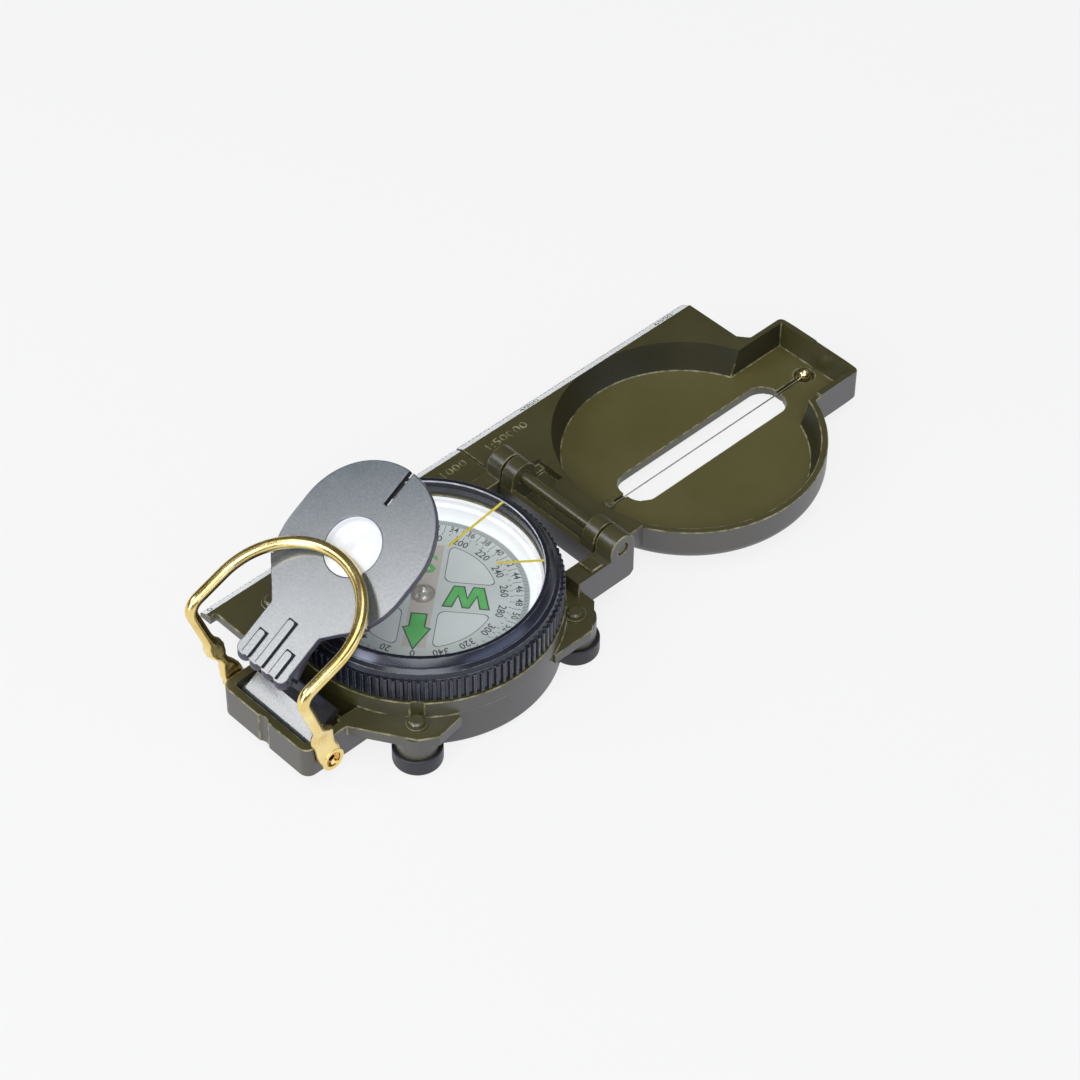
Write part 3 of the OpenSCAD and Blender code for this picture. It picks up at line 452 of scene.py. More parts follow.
degrees = [ringed(str(d), DEGREE_R, d, DEGREE_SIZE, 0.95) for d in range(0, 360, 20)]
mils = [ringed(str(m), MIL_R, m * 360 / MILS, MIL_SIZE, 0.9) for m in range(0, MILS, 2)]
marks = [tick_ring(15.75, 16.25, 0.13, DEGREE_TICKS), tick_ring(16.4, 16.75, 0.1, MILS),
         tick_ring(16.76, 18.2, 0.1, MILS // 2, skip=1)]
settle(printed("card_figures", dial_ink, degrees + mils + marks), "card", "dial")
haze = tick_ring(18.3, 19.25, 0.2, 5 * MILS)
settle(printed("card_fine_scale", dial_haze, [haze]), "card", "dial")


def pick(piece, test, kind="FACE"):
    """In edit mode, selects what passes the test."""
    bpy.ops.mesh.select_mode(type=kind)
    bpy.ops.mesh.select_all(action="DESELECT")
    shape = bmesh.from_edit_mesh(piece.data)
    for part in {"FACE": shape.faces, "EDGE": shape.edges, "VERT": shape.verts}[kind]:
        part.select_set(test(part))
    bmesh.update_edit_mesh(piece.data)


def outline(name, points, height, thick, ink, corners=(), turn=0.0):
    """A flat print from its outline, with some corners rounded."""
    bpy.ops.object.select_all(action="DESELECT")
    bpy.ops.mesh.primitive_circle_add(vertices=len(points), fill_type="NGON")
    plate = bpy.context.object
    plate.name = name
    for corner, (x, y) in zip(plate.data.vertices, points):
        corner.co = (x, y, height)
    bpy.ops.object.mode_set(mode="EDIT")
    if corners:
        sharp = [Vector((*points[i], height)) for i in corners]
        pick(plate, lambda v: any((v.co - p).length < 1e-4 for p in sharp), "VERT")
        bpy.ops.mesh.bevel(offset=1.5, offset_type="OFFSET", segments=6, affect="VERTICES")
    bpy.ops.mesh.select_all(action="SELECT")
    bpy.ops.mesh.normals_make_consistent(inside=False)
    bpy.ops.mesh.extrude_region_move(TRANSFORM_OT_translate={"value": (0, 0, thick)})
    bpy.ops.mesh.select_all(action="SELECT")
    bpy.ops.mesh.normals_make_consistent(inside=False)
    bpy.ops.object.mode_set(mode="OBJECT")
    plate.data.transform(Matrix.Rotation(turn, 4, "Z"))
    plate.data.materials.append(ink)
    return plate


# Windows: four quarters of the card between the letters' cross and the ring,
# each a paler print over a thin dark one that shows as its outline.
WINDOW_R, WINDOW_EAST, WINDOW_NORTH = 13.35, 3.2, 3.65
WINDOW_LINE, ARC_STEPS = 0.13, 12
card_turn = NORTH - math.pi / 2
for number, (east, north) in enumerate(((1, 1), (-1, 1), (-1, -1), (1, -1))):
    for rim, ink, thick in ((0.0, dial_ink, 0.006), (WINDOW_LINE, dial_window, 0.012)):
        reach = WINDOW_R - rim
        first = math.asin((WINDOW_NORTH + rim) / reach)
        last = math.acos((WINDOW_EAST + rim) / reach)
        points = [(east * (WINDOW_EAST + rim), north * (WINDOW_NORTH + rim))]
        for i in range(ARC_STEPS + 1):
            angle = first + (last - first) * i / ARC_STEPS
            points.append((east * reach * math.cos(angle), north * reach * math.sin(angle)))
        name = "card_window_%d" % number if rim else "card_window_line_%d" % number
        piece = outline(name, points, CARD_FACE, thick, ink, (0, 1, ARC_STEPS + 1), card_turn)
        settle(piece, "card", "dial")

# Letters: W, E and S and the north arrow, printed in green over a dark
# outline, and upright when north is up.
LETTER_OUT, LETTER_LOW, LETTER_HIGH = 8.04, -2.66, 2.3
SOUTH_OUT, SOUTH_SIZE = 8.2, 6.6
BORDER, MITRE = 0.3, 2.2
half_w = [(-4.06, LETTER_HIGH), (-2.7, LETTER_HIGH), (-1.75, -0.95), (-0.5, LETTER_HIGH)]
half_low = [(-2.63, LETTER_LOW), (-0.95, LETTER_LOW)]
west = (half_w + [(-x, y) for x, y in reversed(half_w)]
        + [(-x, y) for x, y in half_low] + [(0, 0.45)] + list(reversed(half_low)))
east = [(-2, LETTER_HIGH), (2, LETTER_HIGH), (2, 1.1), (-0.6, 1.1), (-0.6, 0.45), (1.5, 0.45),
        (1.5, -0.75), (-0.6, -0.75), (-0.6, -1.45), (2, -1.45), (2, LETTER_LOW), (-2, LETTER_LOW)]
arrow = [(-1.27, 4.95), (-1.27, 8.15), (-2.27, 8.5), (0, 13.3), (2.27, 8.5), (1.27, 8.15),
         (1.27, 4.95)]


def bordered(name, points, shift):
    """A green print over a slightly larger dark one."""
    made = []
    for grow, ink, thick in ((BORDER, dial_line, 0.014), (0.0, dial_green, 0.024)):
        piece = outline(name, [(x + shift, y) for x, y in points], CARD_FACE, thick, ink)
        if grow:
            shape = bmesh.new()
            shape.from_mesh(piece.data)
            for corner in shape.verts:
                walls = [f.normal.xy for f in corner.link_faces if abs(f.normal.z) < 0.5]
                out_way = (walls[0] + walls[1]).normalized()
                spread = max(out_way.dot(walls[0]), 0.25)
                corner.co.xy += out_way * min(grow / spread, MITRE * grow)
            shape.to_mesh(piece.data)
            shape.free()
        piece.data.transform(Matrix.Rotation(card_turn, 4, "Z"))
        made.append(piece)
    made[0].name = name + "_line"
    for piece in made:
        settle(piece, "card", "dial")


bordered("letter_west", west, -LETTER_OUT)
bordered("letter_east", east, LETTER_OUT)
bordered("north_arrow", arrow, 0.1)
south_place = Matrix.Rotation(card_turn, 4, "Z") @ Vector((0, -SOUTH_OUT, CARD_FACE + 0.012))
for name, fat, ink, level in (("letter_south_line", 0.07, dial_ink, 0.0),
                              ("letter_south", 0.03, dial_green, 0.008)):
    piece = figure("S", SOUTH_SIZE, south_place + Vector((0, 0, level)), card_turn, fat=fat)
    settle(printed(name, ink, [piece]), "card", "dial")

# Jewel: a tinted strip marks the magnet under the card, and a polished cap
# with a turned collar holds the jewel that rides on the needle.
SHADE_HALF, SHADE_SOUTH, SHADE_NORTH = 2.2, -12.9, 13.2
CAP_R, CAP_MIDDLE, CAP_FOOT, COLLAR = 1.3, 0.9, 0.5, 1.75
strip_tint = finish("magnet_tint", (0.50, 0.47, 0.42), (0.60, 0.57, 0.52), (0.4, 0.5))
strip = outline("magnet_shade", [(-SHADE_HALF, SHADE_SOUTH), (SHADE_HALF, SHADE_SOUTH),
                                 (SHADE_HALF, SHADE_NORTH), (-SHADE_HALF, SHADE_NORTH)],
                CARD_FACE, 0.004, strip_tint, turn=card_turn)
settle(strip, "card", "dial")
cup_metal = finish("cup_metal", (0.34, 0.31, 0.27), (0.66, 0.62, 0.56), (0.25, 0.4), Metallic=0.7)
bpy.ops.object.select_all(action="DESELECT")
bpy.ops.mesh.primitive_uv_sphere_add(segments=48, ring_count=24, radius=CAP_R,
                                     location=(0, 0, CARD_FACE + CAP_MIDDLE))
cap = bpy.context.object
cap.name = "jewel_cap"
bpy.ops.object.transform_apply(location=True, rotation=True, scale=True)
bpy.ops.object.mode_set(mode="EDIT")
bpy.ops.mesh.select_all(action="SELECT")
bpy.ops.mesh.bisect(plane_co=(0, 0, CARD_FACE + CAP_FOOT), plane_no=(0, 0, 1),
                    clear_inner=True)
bpy.ops.mesh.extrude_region_move(TRANSFORM_OT_translate={"value": (0, 0, 0)})
bpy.ops.transform.resize(value=(COLLAR, COLLAR, 1))
bpy.ops.mesh.extrude_region_move(TRANSFORM_OT_translate={"value": (0, 0, -CAP_FOOT)})
bpy.ops.mesh.edge_face_add()
bpy.ops.mesh.select_all(action="SELECT")
bpy.ops.mesh.normals_make_consistent(inside=False)
bpy.ops.object.mode_set(mode="OBJECT")
cap.data.materials.append(cup_metal)
alone(cap)
bpy.ops.object.shade_smooth_by_angle(angle=math.radians(35))
settle(cap, "card", "magnet")
skin("jewel_cup", cup_metal)

# Bezel: a black anodised ring with a knurled skirt, its rounded edges painted
# lighter as wear and as a painted highlight, a thin pale ring laid on the inner
# edge of the lip as a painted highlight, a flat crystal held by a ring from
# below, and two luminous marching lines.
LIP_R, LIP_THICK, LIP_TOP = 22.2, 0.18, 10.38
LINE_END, LINE_WIDTH, LINE_THICK = 22, 0.48, 0.1
bezel_black = finish("bezel_black", (0.008, 0.009, 0.014), (0.015, 0.017, 0.026), (0.2, 0.3),
                     broad=90, depth=0.1, IOR=1.6, Specular_Tint=(0.88, 0.9, 1, 1))
bezel_worn_highlight = finish("bezel_worn_highlight", (0.03, 0.032, 0.042), (0.09, 0.095, 0.115), (0.2, 0.3),
                    mask="Speck")
lume = finish("lume_yellow", (0.66, 0.52, 0.04), (0.80, 0.68, 0.09), (0.5, 0.6), broad=500)
bezel = rounded_copy("bezel_ring", "bezel_body", 0.1, (bezel_black, bezel_worn_highlight))
dress("bezel_ring", bezel, "bezel")
lip_painted_highlight = finish("lip_painted_highlight", (0.45, 0.46, 0.50), (0.80, 0.81, 0.85), (0.15, 0.3),
                     mask="Speck", fine=300)
# A thin pale ring on the lip's inner edge, a painted highlight.
bpy.ops.mesh.primitive_torus_add(major_segments=144, minor_segments=10, major_radius=LIP_R,
                                 minor_radius=LIP_THICK, location=(0, 0, LIP_TOP))
lip = bpy.context.object
lip.name = "bezel_lip_highlight"
lip.data.materials.append(lip_painted_highlight)
bpy.ops.object.shade_smooth()
settle(lip, "bezel", "bezel_black")
skin("bezel_glass", clear("crystal", (0.95, 0.97, 0.97), 0.025, 0.03))
skin("glass_retainer", bezel_black)
line_level = 1000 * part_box("marching_lines")[0].z - ORIGIN.z
for name, start, turn in (("marching_long", 7.1, 6), ("marching_short", 13.3, -39)):
    strip = block(((start + LINE_END) / 2, 0, line_level + LINE_THICK / 2),
                  (LINE_END - start, LINE_WIDTH, LINE_THICK))
    strip.name = name
    strip.data.transform(Matrix.Rotation(math.radians(turn), 4, "Z"))
    strip.data.materials.append(lume)
    settle(strip, "bezel", "lume", "marching_lines")

# Hinge: a turned bar through two ears of the case and two knuckles of the
# cover, sprayed olive with them.
hinge = rounded_copy("hinge_pin", "hinge_bar", 0.25, (olive, olive_wear_highlight))
dress("hinge_pin", hinge, "case")

# Cover: the same die cast and painted alloy as the case, hollowed to close over
# the bezel, with the sighting slot and the front tray. The recess floor takes a
# paler copy of the paint as painted light, the recess walls a darker, duller
# copy as painted shade, and the steep outer sides the bluer painted reflection.
ROUND_X, ROUND_R, TRAY_END, TRAY_HALF, FLOOR = 68.12, 26.2, 104.7, 9.7, -6
END_WALL, SLACK = 103.5, 0.3
LEVEL, UPRIGHT = 0.95, 0.6
olive_floor_painted_light = finish("olive_floor_painted_light", (0.088, 0.078, 0.020), (0.104, 0.093, 0.026), OLIVE_ROUGH,
                     IOR=1.75, Specular_Tint=(0.85, 0.85, 1, 1), **OLIVE_GRAIN)
olive_wall_painted_shade = finish("olive_wall_painted_shade", (0.022, 0.020, 0.006), (0.030, 0.027, 0.009), (0.4, 0.5),
                    IOR=1.5, **OLIVE_GRAIN)
cover = rounded_copy("cover_casting", "cover_body", 0.2, (olive, olive_wear_highlight))
for one in (olive_floor_painted_light, olive_wall_painted_shade, olive_side_sheen):
    cover.data.materials.append(one)
for face in cover.data.polygons:
    place = 1000 * face.center - ORIGIN
    inside = (math.hypot(place.x - ROUND_X, place.y) < ROUND_R
              or ROUND_X < place.x < TRAY_END and abs(place.y) < TRAY_HALF)
    if inside and face.material_index == 0:
        deep = FLOOR - SLACK < place.z < -SLACK
        if face.normal.z > LEVEL and abs(place.z - FLOOR) < SLACK:
            face.material_index = 2
        elif abs(face.normal.z) < UPRIGHT and place.x < END_WALL and deep:
            face.material_index = 3
    elif face.material_index == 0 and abs(face.normal.z) < STEEP:
        face.material_index = 4
dress("cover_casting", cover, "cover")

# Ruler: the bevelled edge of both castings carries a white painted scale with
# dark figures, and the plates have raised figures, speckled pale as worn paint
# and as a painted highlight.
RULE_TOP, RULE_LOW, RULE_DROP = 25.65, 27.55, 1.0
RULE_START, RULE_ZERO, JOINT, RULE_END = -29.9, -28.5, 33.06, 94.6
MARK_STEP, MARK_WIDTH, MARK_FOOT, END_GAP = 1.0, 0.09, 0.88, 0.5
WALL_OUT = 26.55
scale_white = finish("scale_white", (0.84, 0.85, 0.85), (0.93, 0.94, 0.94), (0.45, 0.6), broad=200)
slope = math.atan2(RULE_DROP, RULE_LOW - RULE_TOP)
slope_middle = Vector((0, (RULE_TOP + RULE_LOW) / 2, -RULE_DROP / 2))


def on_slope(x, along=0.0, up=0.0):
    """A place on the bevelled scale: along the edge, down the slope and off it."""
    return slope_middle + Vector((x, along * math.cos(slope) + up * math.sin(slope),
                                  -along * math.sin(slope) + up * math.cos(slope)))


def slope_box(x, length, along, width, up, thick):
    """A thin box that lies on the bevelled scale."""
    return block(on_slope(x, along, up), (length, width, thick), (-slope, 0, 0))


# The cover's round wall stands a little out of the bevel, and is levelled to it.
for vertex in cover.data.vertices:
    place = vertex.co * 1000 - ORIGIN
    level = (RULE_TOP - place.y) * RULE_DROP / (RULE_LOW - RULE_TOP)
    if place.y > WALL_OUT and place.z > level + 0.01:
        vertex.co.z = (level + ORIGIN.z) / 1000

for start, end, body, figures in (
        (RULE_START, JOINT - 0.15, "case", ((RULE_ZERO, "0"), (11.5, "2000"))),
        (JOINT + 0.45, RULE_END, "cover", ((51.5, "4000"), (88.3, "6000")))):
    band = slope_box((start + end) / 2, end - start, -0.06, 1.95, 0.008, 0.016)
    settle(printed(body + "_scale_band", scale_white, [band]), body, "cast_paint")
    marks = []
    first = math.ceil((start + END_GAP - RULE_ZERO) / MARK_STEP)
    last = int((end - END_GAP - RULE_ZERO) / MARK_STEP)
    for number in range(first, last + 1):
        length = 0.75 if number % 10 == 0 else 0.5 if number % 5 == 0 else 0.3
        marks.append(slope_box(number * MARK_STEP + RULE_ZERO, MARK_WIDTH,
                               MARK_FOOT - length / 2, length, 0.02, 0.012))
    for x, words in figures:
        stretch = 1.45 if len(words) > 1 else 1.3
        word = figure(words, 1.75, (0, 0, 0), 0, thick=0.005, stretch=stretch)
        bpy.ops.object.transform_apply(location=True, rotation=True, scale=True)
        word.data.transform(Matrix.Translation(on_slope(x, -0.22, 0.022))
                            @ Matrix.Rotation(-slope, 4, "X"))
        marks.append(word)
    settle(printed(body + "_scale_marks", dial_ink, marks), body, "cast_paint")

raised_wear_highlight = finish("raised_figures_worn_highlit", (0.06, 0.055, 0.018), (0.34, 0.31, 0.18), (0.25, 0.4),
                      mask="Speck", broad=300, fine=420, depth=0.3, IOR=1.6)
for name, words, x, y, body in (("case_figures", "1000", 28.3, 22.85, "case"),
                                ("cover_figures", "1:50000", 41.9, 22.75, "cover")):
    word = figure(words, 2.6, (x, y, 0.03), 0, thick=0.07, stretch=1.3)
    settle(printed(name, raised_wear_highlight, [word]), body, "cast_paint")

# Sighting wire: a thin steel wire stretched down the slot, from a brass plug
# at the hinge end, which the paint has covered, to a bare brass ball that is
# pressed into a cup in the front tray.
polished_brass = finish("polished_brass", (0.60, 0.46, 0.18), (0.86, 0.74, 0.42), (0.15, 0.26),
                        broad=300, Metallic=1.0)
pale_wire = finish("pale_wire", (0.66, 0.64, 0.58), (0.86, 0.84, 0.78), (0.3, 0.42), broad=300,
                   Metallic=1.0)
skin("sighting_wire", pale_wire)
# The plug takes the pale edge paint all over, as worn paint and as a painted highlight.
plug = rounded_copy("rear_wire_anchor", "rear_plug", 0.2, (olive_wear_highlight,), steps=3)
dress("rear_wire_anchor", plug, "cover")
ball = rounded_copy("front_wire_anchor", "front_ball", 0.05, (polished_brass,))
dress("front_wire_anchor", ball, "cover")

# Lens bracket: one black moulding that turns on the bracket pin. Its top faces
# are painted a light grey as a painted sheen, its other faces a duller blue-grey
# as a painted reflection, and the slot and the foot plate's front are painted
# flat black as painted shade and shadow.
PIN = Vector((-34, 0, -4))
LEAF_TILT = math.radians(32)
LEAF_TOP, NECK, SLOT_W, SLOT_X = 16.3, 6.3, 0.9, 40
FOOT_X, FOOT_TOP, FACING_UP = 3.6, 9, 0.93
leaf_grey_sheen = finish("leaf_grey_sheen", (0.065, 0.080, 0.092), (0.10, 0.118, 0.13), (0.15, 0.2),
                   mask="Speck", broad=70, fine=2600, depth=0.12, IOR=1.9)
leaf_edge_sheen = finish("leaf_edge_sheen", (0.040, 0.039, 0.056), (0.062, 0.060, 0.084), (0.22, 0.32))
leaf_black_shade = finish("leaf_black_shade", (0.003, 0.003, 0.004), (0.005, 0.005, 0.006), (0.7, 0.8))
on_leaf = Matrix.Translation(PIN) @ Matrix.Rotation(-LEAF_TILT, 4, "Y")
leaf_up = on_leaf.to_3x3() @ Vector((0, 0, 1))


def in_leaf(place):
    """A place of the frame, measured along the leaf from the pin."""
    return on_leaf.inverted() @ (1000 * place - ORIGIN)


leaf = rounded_copy("lens_bracket", "leaf_body", 0.2, (leaf_grey_sheen, leaf_edge_sheen), steps=3)
leaf.data.materials.append(leaf_black_shade)
alone(leaf)
bpy.ops.object.mode_set(mode="EDIT")
# The foot plate is cut across where its painted shadow begins.
pick(leaf, lambda f: in_leaf(f.calc_center_median()).z < FOOT_TOP)
bpy.ops.mesh.bisect(plane_co=(on_leaf @ Vector((FOOT_X, 0, 0)) + ORIGIN) / 1000,
                    plane_no=on_leaf.to_3x3() @ Vector((1, 0, 0)))
bpy.ops.object.mode_set(mode="OBJECT")
for face in leaf.data.polygons:
    place = in_leaf(face.center)
    slot_wall_shade = place.x > SLOT_X and abs(place.y) < SLOT_W / 2 + 0.05
    foot_front_shadow = place.x > FOOT_X and place.z < FOOT_TOP
    if slot_wall_shade or foot_front_shadow or place.z > LEAF_TOP + 0.02:
        face.material_index = 2
    else:
        face.material_index = 0 if face.normal.dot(leaf_up) > FACING_UP else 1
dress("lens_bracket", leaf, "bracket")

# Thumb grip: three raised bars on the leaf's neck, their sides painted black as
# shade, four beads round its bend, and the rim that stiffens its near edge.
BAR_START, BAR_STEP, BAR_WIDTH = 5.1, 3.6, 1.5
BEAD_X, BEAD_STEP, BEAD_SIZE = 5.7, 3.24, (1.8, 1.7, 1.55)
RIM_LENGTH, RIM_WIDTH, RIM_DEPTH, RIM_TAPER = 6, 1.1, 3, 2.4
for number, end in ((-1, 10.25), (0, 14.75), (1, 10.25)):
    bar = block(((BAR_START + end) / 2, number * BAR_STEP, LEAF_TOP - 0.05),
                (end - BAR_START, BAR_WIDTH, 1))
    bar.name = "grip_bar_%d" % (number + 2)
    bar.data.materials.append(leaf_grey_sheen)
    bar.data.materials.append(leaf_black_shade)
    bpy.ops.object.mode_set(mode="EDIT")
    pick(bar, lambda e: all(v.co.x > end - 0.01 for v in e.verts)
         and abs(e.verts[0].co.z - e.verts[1].co.z) > 0.5, "EDGE")
    bpy.ops.mesh.bevel(offset=0.5, segments=5)
    pick(bar, lambda f: f.normal.z < 0.5)
    bar.active_material_index = 1
    bpy.ops.object.material_slot_assign()
    bpy.ops.object.mode_set(mode="OBJECT")
    bar.data.transform(on_leaf)
    settle(bar, "bracket", "leaf_paint")
beads = []
for number in range(4):
    bead_place = (BEAD_X, (number - 1.5) * BEAD_STEP, LEAF_TOP - 1.6)
    bpy.ops.mesh.primitive_uv_sphere_add(segments=32, ring_count=20, radius=1,
                                         location=bead_place)
    bead = bpy.context.object
    bead.scale = BEAD_SIZE
    bpy.ops.object.transform_apply(location=True, rotation=True, scale=True)
    beads.append(bead)
beads = printed("bend_beads", leaf_edge_sheen, beads)
bpy.ops.object.shade_smooth()
beads.data.transform(on_leaf)
settle(beads, "bracket", "leaf_paint")
rim_place = Vector((9.4, RIM_WIDTH / 2 - NECK, LEAF_TOP - 2.2))
rim = block(rim_place, (RIM_LENGTH, RIM_WIDTH, RIM_DEPTH))
rim.name = "leaf_rim"
bpy.ops.object.mode_set(mode="EDIT")
pick(rim, lambda v: v.co.x > rim_place.x and v.co.z < rim_place.z, "VERT")
bpy.ops.transform.translate(value=(0, 0, RIM_TAPER))
bpy.ops.mesh.select_all(action="SELECT")
bpy.ops.mesh.bevel(offset=0.15, segments=2)
bpy.ops.object.mode_set(mode="OBJECT")
rim.data.materials.append(leaf_edge_sheen)
rim.data.transform(on_leaf)
bpy.ops.object.shade_smooth_by_angle(angle=math.radians(35))
settle(rim, "bracket", "leaf_paint")
skin("magnifying_lens", clear("lens_glass", (0.94, 0.96, 0.97), 0.62, 0.14))

# Bracket pin: a ground steel rod through the tray's walls, on which the lens
# bracket and the thumb loop both turn; a brass screw with a hex socket closes
# each end, in a pocket of the loop.
ROD_R, ROD_LENGTH, SOCKET_REACH = 1.2, 25.2, 0.8
HEAD, SOCKET = (1.5, 1.2, 13.05, 48), (0.75, 1.4, 13.6, 6)


def drum(radius, length, place, sides=48):
    """A cylinder that lies across the compass."""
    bpy.ops.object.select_all(action="DESELECT")
    bpy.ops.mesh.primitive_cylinder_add(vertices=sides, radius=radius, depth=length,
                                        location=place, rotation=(math.pi / 2, 0, 0))
    return bpy.context.object


rod = drum(ROD_R, ROD_LENGTH, PIN)
rod.name = "bracket_rod"
rod.data.materials.append(steel)
bpy.ops.object.mode_set(mode="EDIT")
pick(rod, lambda f: len(f.verts) > 4)
bpy.ops.mesh.bevel(offset=0.1, segments=2)
bpy.ops.object.mode_set(mode="OBJECT")
bpy.ops.object.shade_smooth_by_angle(angle=math.radians(30))
settle(rod, "case", "steel", "bracket_pin")
screw_brass = finish("screw_brass", (0.50, 0.26, 0.05), (0.80, 0.52, 0.18), (0.12, 0.22),
                     broad=300, Metallic=1.0)
for name, hand in (("near_screw", -1), ("far_screw", 1)):
    parts = []
    for radius, length, out_to, sides in (HEAD, SOCKET):
        parts.append(drum(radius, length, (PIN.x, hand * out_to, PIN.z), sides))
        bpy.ops.object.transform_apply(location=True, rotation=True, scale=True)
    head, socket = parts
    head.name = name
    head.data.materials.append(screw_brass)
    head.data.materials.append(leaf_black_shade)
    alone(head)
    bpy.ops.object.mode_set(mode="EDIT")
    pick(head, lambda f: f.normal.y * hand > 0.9)
    bpy.ops.mesh.inset(thickness=0.12)
    bpy.ops.mesh.inset(thickness=0.5, depth=-0.4)
    bpy.ops.object.mode_set(mode="OBJECT")
    cut = head.modifiers.new("socket", "BOOLEAN")
    cut.operation, cut.object, cut.solver = "DIFFERENCE", socket, "EXACT"
    bpy.ops.object.modifier_apply(modifier="socket")
    bpy.data.objects.remove(socket)
    # The socket's faces are painted black, as shade in the hollow.
    for face in head.data.polygons:
        corners = [head.data.vertices[i].co for i in face.vertices]
        face.material_index = int(all(math.hypot(c.x - PIN.x, c.z - PIN.z) < SOCKET_REACH
                                      for c in corners))
    bpy.ops.object.shade_smooth_by_angle(angle=math.radians(30))
    settle(head, "case", "brass", "loop_screws")

# Thumb loop: one brass wire bent to a stirrup and lying on the leaf; its ends
# are stamped flat, waisted and pierced for the pin.
WIRE_R, LEG_LEAN, ARCH_LEAN = 1.15, 19.0, 69.44
EYE_Y, ARCH_Y = 12.9, 15.0
LEG_END, ARCH_STRAIGHT, BEND_R = 20.47, 6.37, 2.6
EYE_R, EYE_THICK = 2.3, 2
POCKET_R, POCKET_DEPTH, POCKET_Y = 1.55, 2.15, 13.675
STAMPED, FLATTENED = 1.5, 1.6
loop_brass = finish("loop_brass", (0.80, 0.57, 0.17), (1.0, 0.84, 0.40), (0.2, 0.32), broad=160,
                    fine=500, depth=0.2, Metallic=1.0)
bend_turn = math.radians(ARCH_LEAN + LEG_LEAN)


def half_loop(hand, rings):
    """From the pin up one leg, round the bend and a quarter of the arch; the wire's
    rings are height, half width, half thickness, place across and shift forward."""
    height, wide, thick, across, shift = rings[0]
    bpy.ops.object.select_all(action="DESELECT")
    bpy.ops.mesh.primitive_circle_add(vertices=24, radius=1,
                                      location=(shift, hand * across, height))
    wire = bpy.context.object
    wire.scale = (wide, thick, 1)
    bpy.ops.object.transform_apply(location=True, rotation=True, scale=True)
    bpy.ops.object.mode_set(mode="EDIT")
    bpy.ops.mesh.select_mode(type="VERT")
    bpy.ops.mesh.select_all(action="SELECT")
    for old, new in zip(rings, rings[1:]):
        move = (new[4] - old[4], hand * (new[3] - old[3]), new[0] - old[0])
        bpy.ops.mesh.extrude_region_move(TRANSFORM_OT_translate={"value": move})
        bpy.ops.transform.resize(value=(new[1] / old[1], new[2] / old[2], 1),
                                 center_override=(new[4], hand * new[3], new[0]))
    bpy.ops.mesh.spin(steps=14, angle=-bend_turn, center=(BEND_R, 0, LEG_END), axis=(0, 1, 0))
    run = Vector((math.sin(bend_turn), 0, math.cos(bend_turn)))
    bpy.ops.mesh.extrude_region_move(TRANSFORM_OT_translate={"value": run * ARCH_STRAIGHT})
    bend_end = Vector((BEND_R - BEND_R * math.cos(bend_turn), 0,
                       LEG_END + BEND_R * math.sin(bend_turn)))
    middle = bend_end + run * ARCH_STRAIGHT
    arch_axis = run.cross(Vector((0, 1, 0))) * hand
    bpy.ops.mesh.spin(steps=36, angle=math.pi / 2, center=middle, axis=arch_axis)
    bpy.ops.object.mode_set(mode="OBJECT")
    for height, wide, thick, across, _ in rings:
        if wide > STAMPED * thick:
            for corner in wire.data.vertices:
                if abs(corner.co.z - height) < 1e-3:
                    off = (corner.co.y - hand * across) / thick
                    corner.co.y = hand * across + thick * min(max(FLATTENED * off, -1), 1)
    return wire


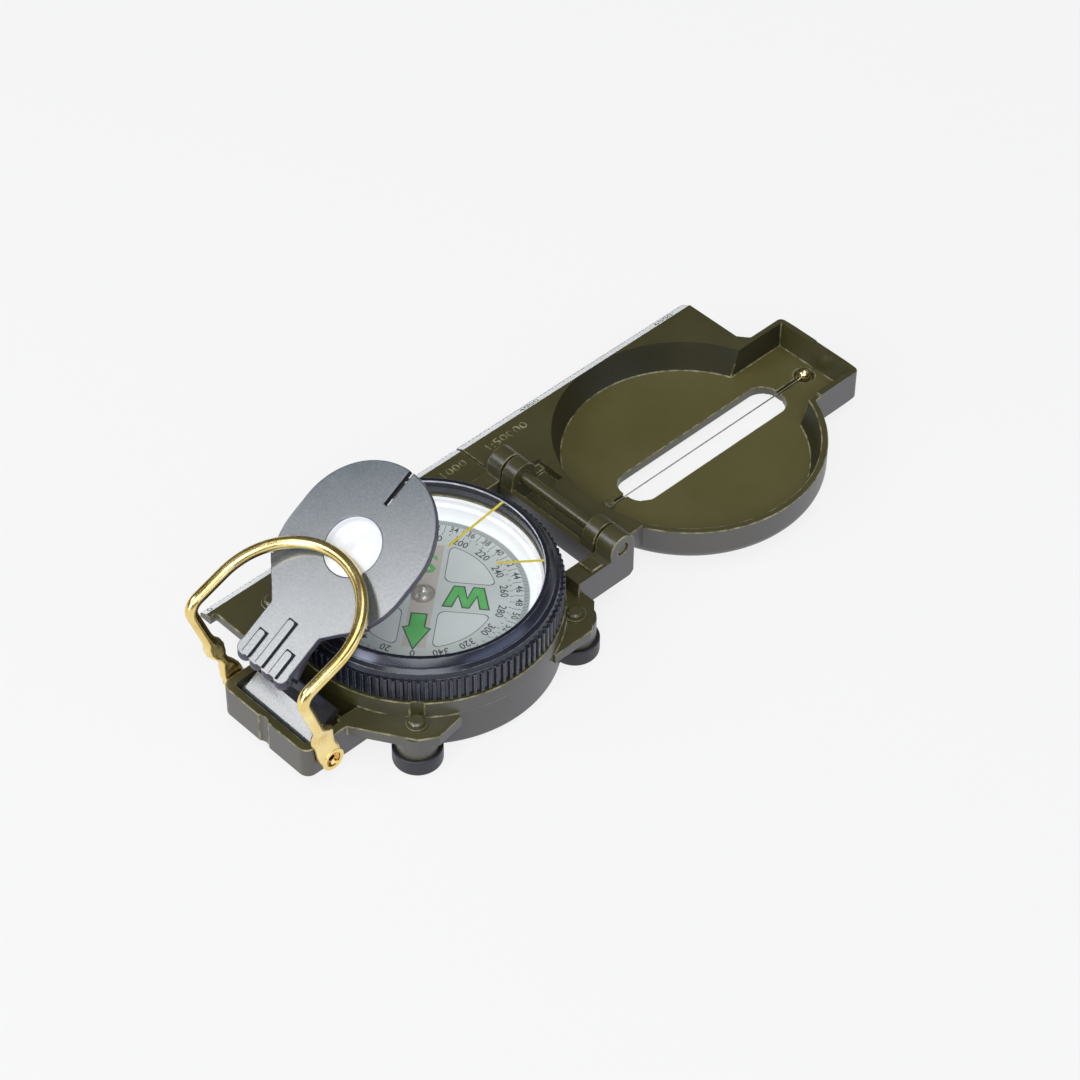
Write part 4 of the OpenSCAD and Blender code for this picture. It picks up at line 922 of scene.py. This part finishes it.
shank = [(13.0, WIRE_R, WIRE_R, ARCH_Y, 0), (LEG_END, WIRE_R, WIRE_R, ARCH_Y, 0)]
near_end = [(-0.6, 2.1, 0.8, EYE_Y, 0), (1.2, 2.4, 0.95, EYE_Y, 0.1),
            (2.8, 2.35, 0.95, EYE_Y, 0.2), (4.2, 2.15, 0.9, EYE_Y, 0.3),
            (5.6, 2.25, 0.8, EYE_Y + 0.1, 0.4), (7.0, 2.55, 0.76, EYE_Y + 0.4, 0.5),
            (8.4, 2.5, 0.78, EYE_Y + 0.8, 0.5), (9.6, 2.0, 0.85, EYE_Y + 1.2, 0.35),
            (10.8, 1.5, 1.0, EYE_Y + 1.6, 0.15), (11.8, 1.2, 1.1, EYE_Y + 1.9, 0)]
far_end = [(-0.6, 2.1, 0.8, EYE_Y, 0), (1.2, 2.25, 0.95, EYE_Y, 0), (3.4, 2.1, 0.95, EYE_Y, 0),
           (5.2, 1.6, 0.95, EYE_Y, 0), (6.4, 1.05, 0.95, EYE_Y + 0.3, 0),
           (7.4, 1.0, 0.9, EYE_Y + 0.6, 0), (8.3, 1.5, 0.85, EYE_Y + 0.9, 0),
           (9.4, 1.95, 0.8, EYE_Y + 1.2, 0), (10.6, 1.85, 0.85, EYE_Y + 1.5, 0),
           (11.6, 1.3, 1.1, EYE_Y + 1.8, 0)]
near_half = half_loop(-1, near_end + shank)
far_half = half_loop(1, far_end + shank)
eyes = []
for hand in (-1, 1):
    eye = drum(EYE_R, EYE_THICK, (0, hand * EYE_Y, 0))
    bpy.ops.object.transform_apply(location=True, rotation=True, scale=True)
    bpy.ops.object.mode_set(mode="EDIT")
    pick(eye, lambda f: abs(f.normal.y) > 0.9)
    bpy.ops.mesh.inset(thickness=0.3)
    bpy.ops.object.mode_set(mode="OBJECT")
    eyes.append(eye)
loop = printed("thumb_wire", loop_brass, [near_half, far_half] + eyes)
alone(loop)
bpy.ops.object.mode_set(mode="EDIT")
bpy.ops.mesh.select_all(action="SELECT")
bpy.ops.mesh.fill_holes(sides=0)
bpy.ops.mesh.normals_make_consistent(inside=False)
bpy.ops.object.mode_set(mode="OBJECT")
for hand in (-1, 1):
    cutter = drum(POCKET_R, POCKET_DEPTH, (0, hand * POCKET_Y, 0))
    alone(loop)
    pocket = loop.modifiers.new("pocket", "BOOLEAN")
    pocket.operation, pocket.object, pocket.solver = "DIFFERENCE", cutter, "EXACT"
    pocket.use_self = True
    bpy.ops.object.modifier_apply(modifier="pocket")
    bpy.data.objects.remove(cutter)
bpy.ops.object.shade_smooth_by_angle(angle=math.radians(40))
loop.data.transform(Matrix.Translation(PIN)
                    @ Matrix.Rotation(math.radians(-LEG_LEAN), 4, "Y"))
settle(loop, "loop", "brass", "thumb_loop")
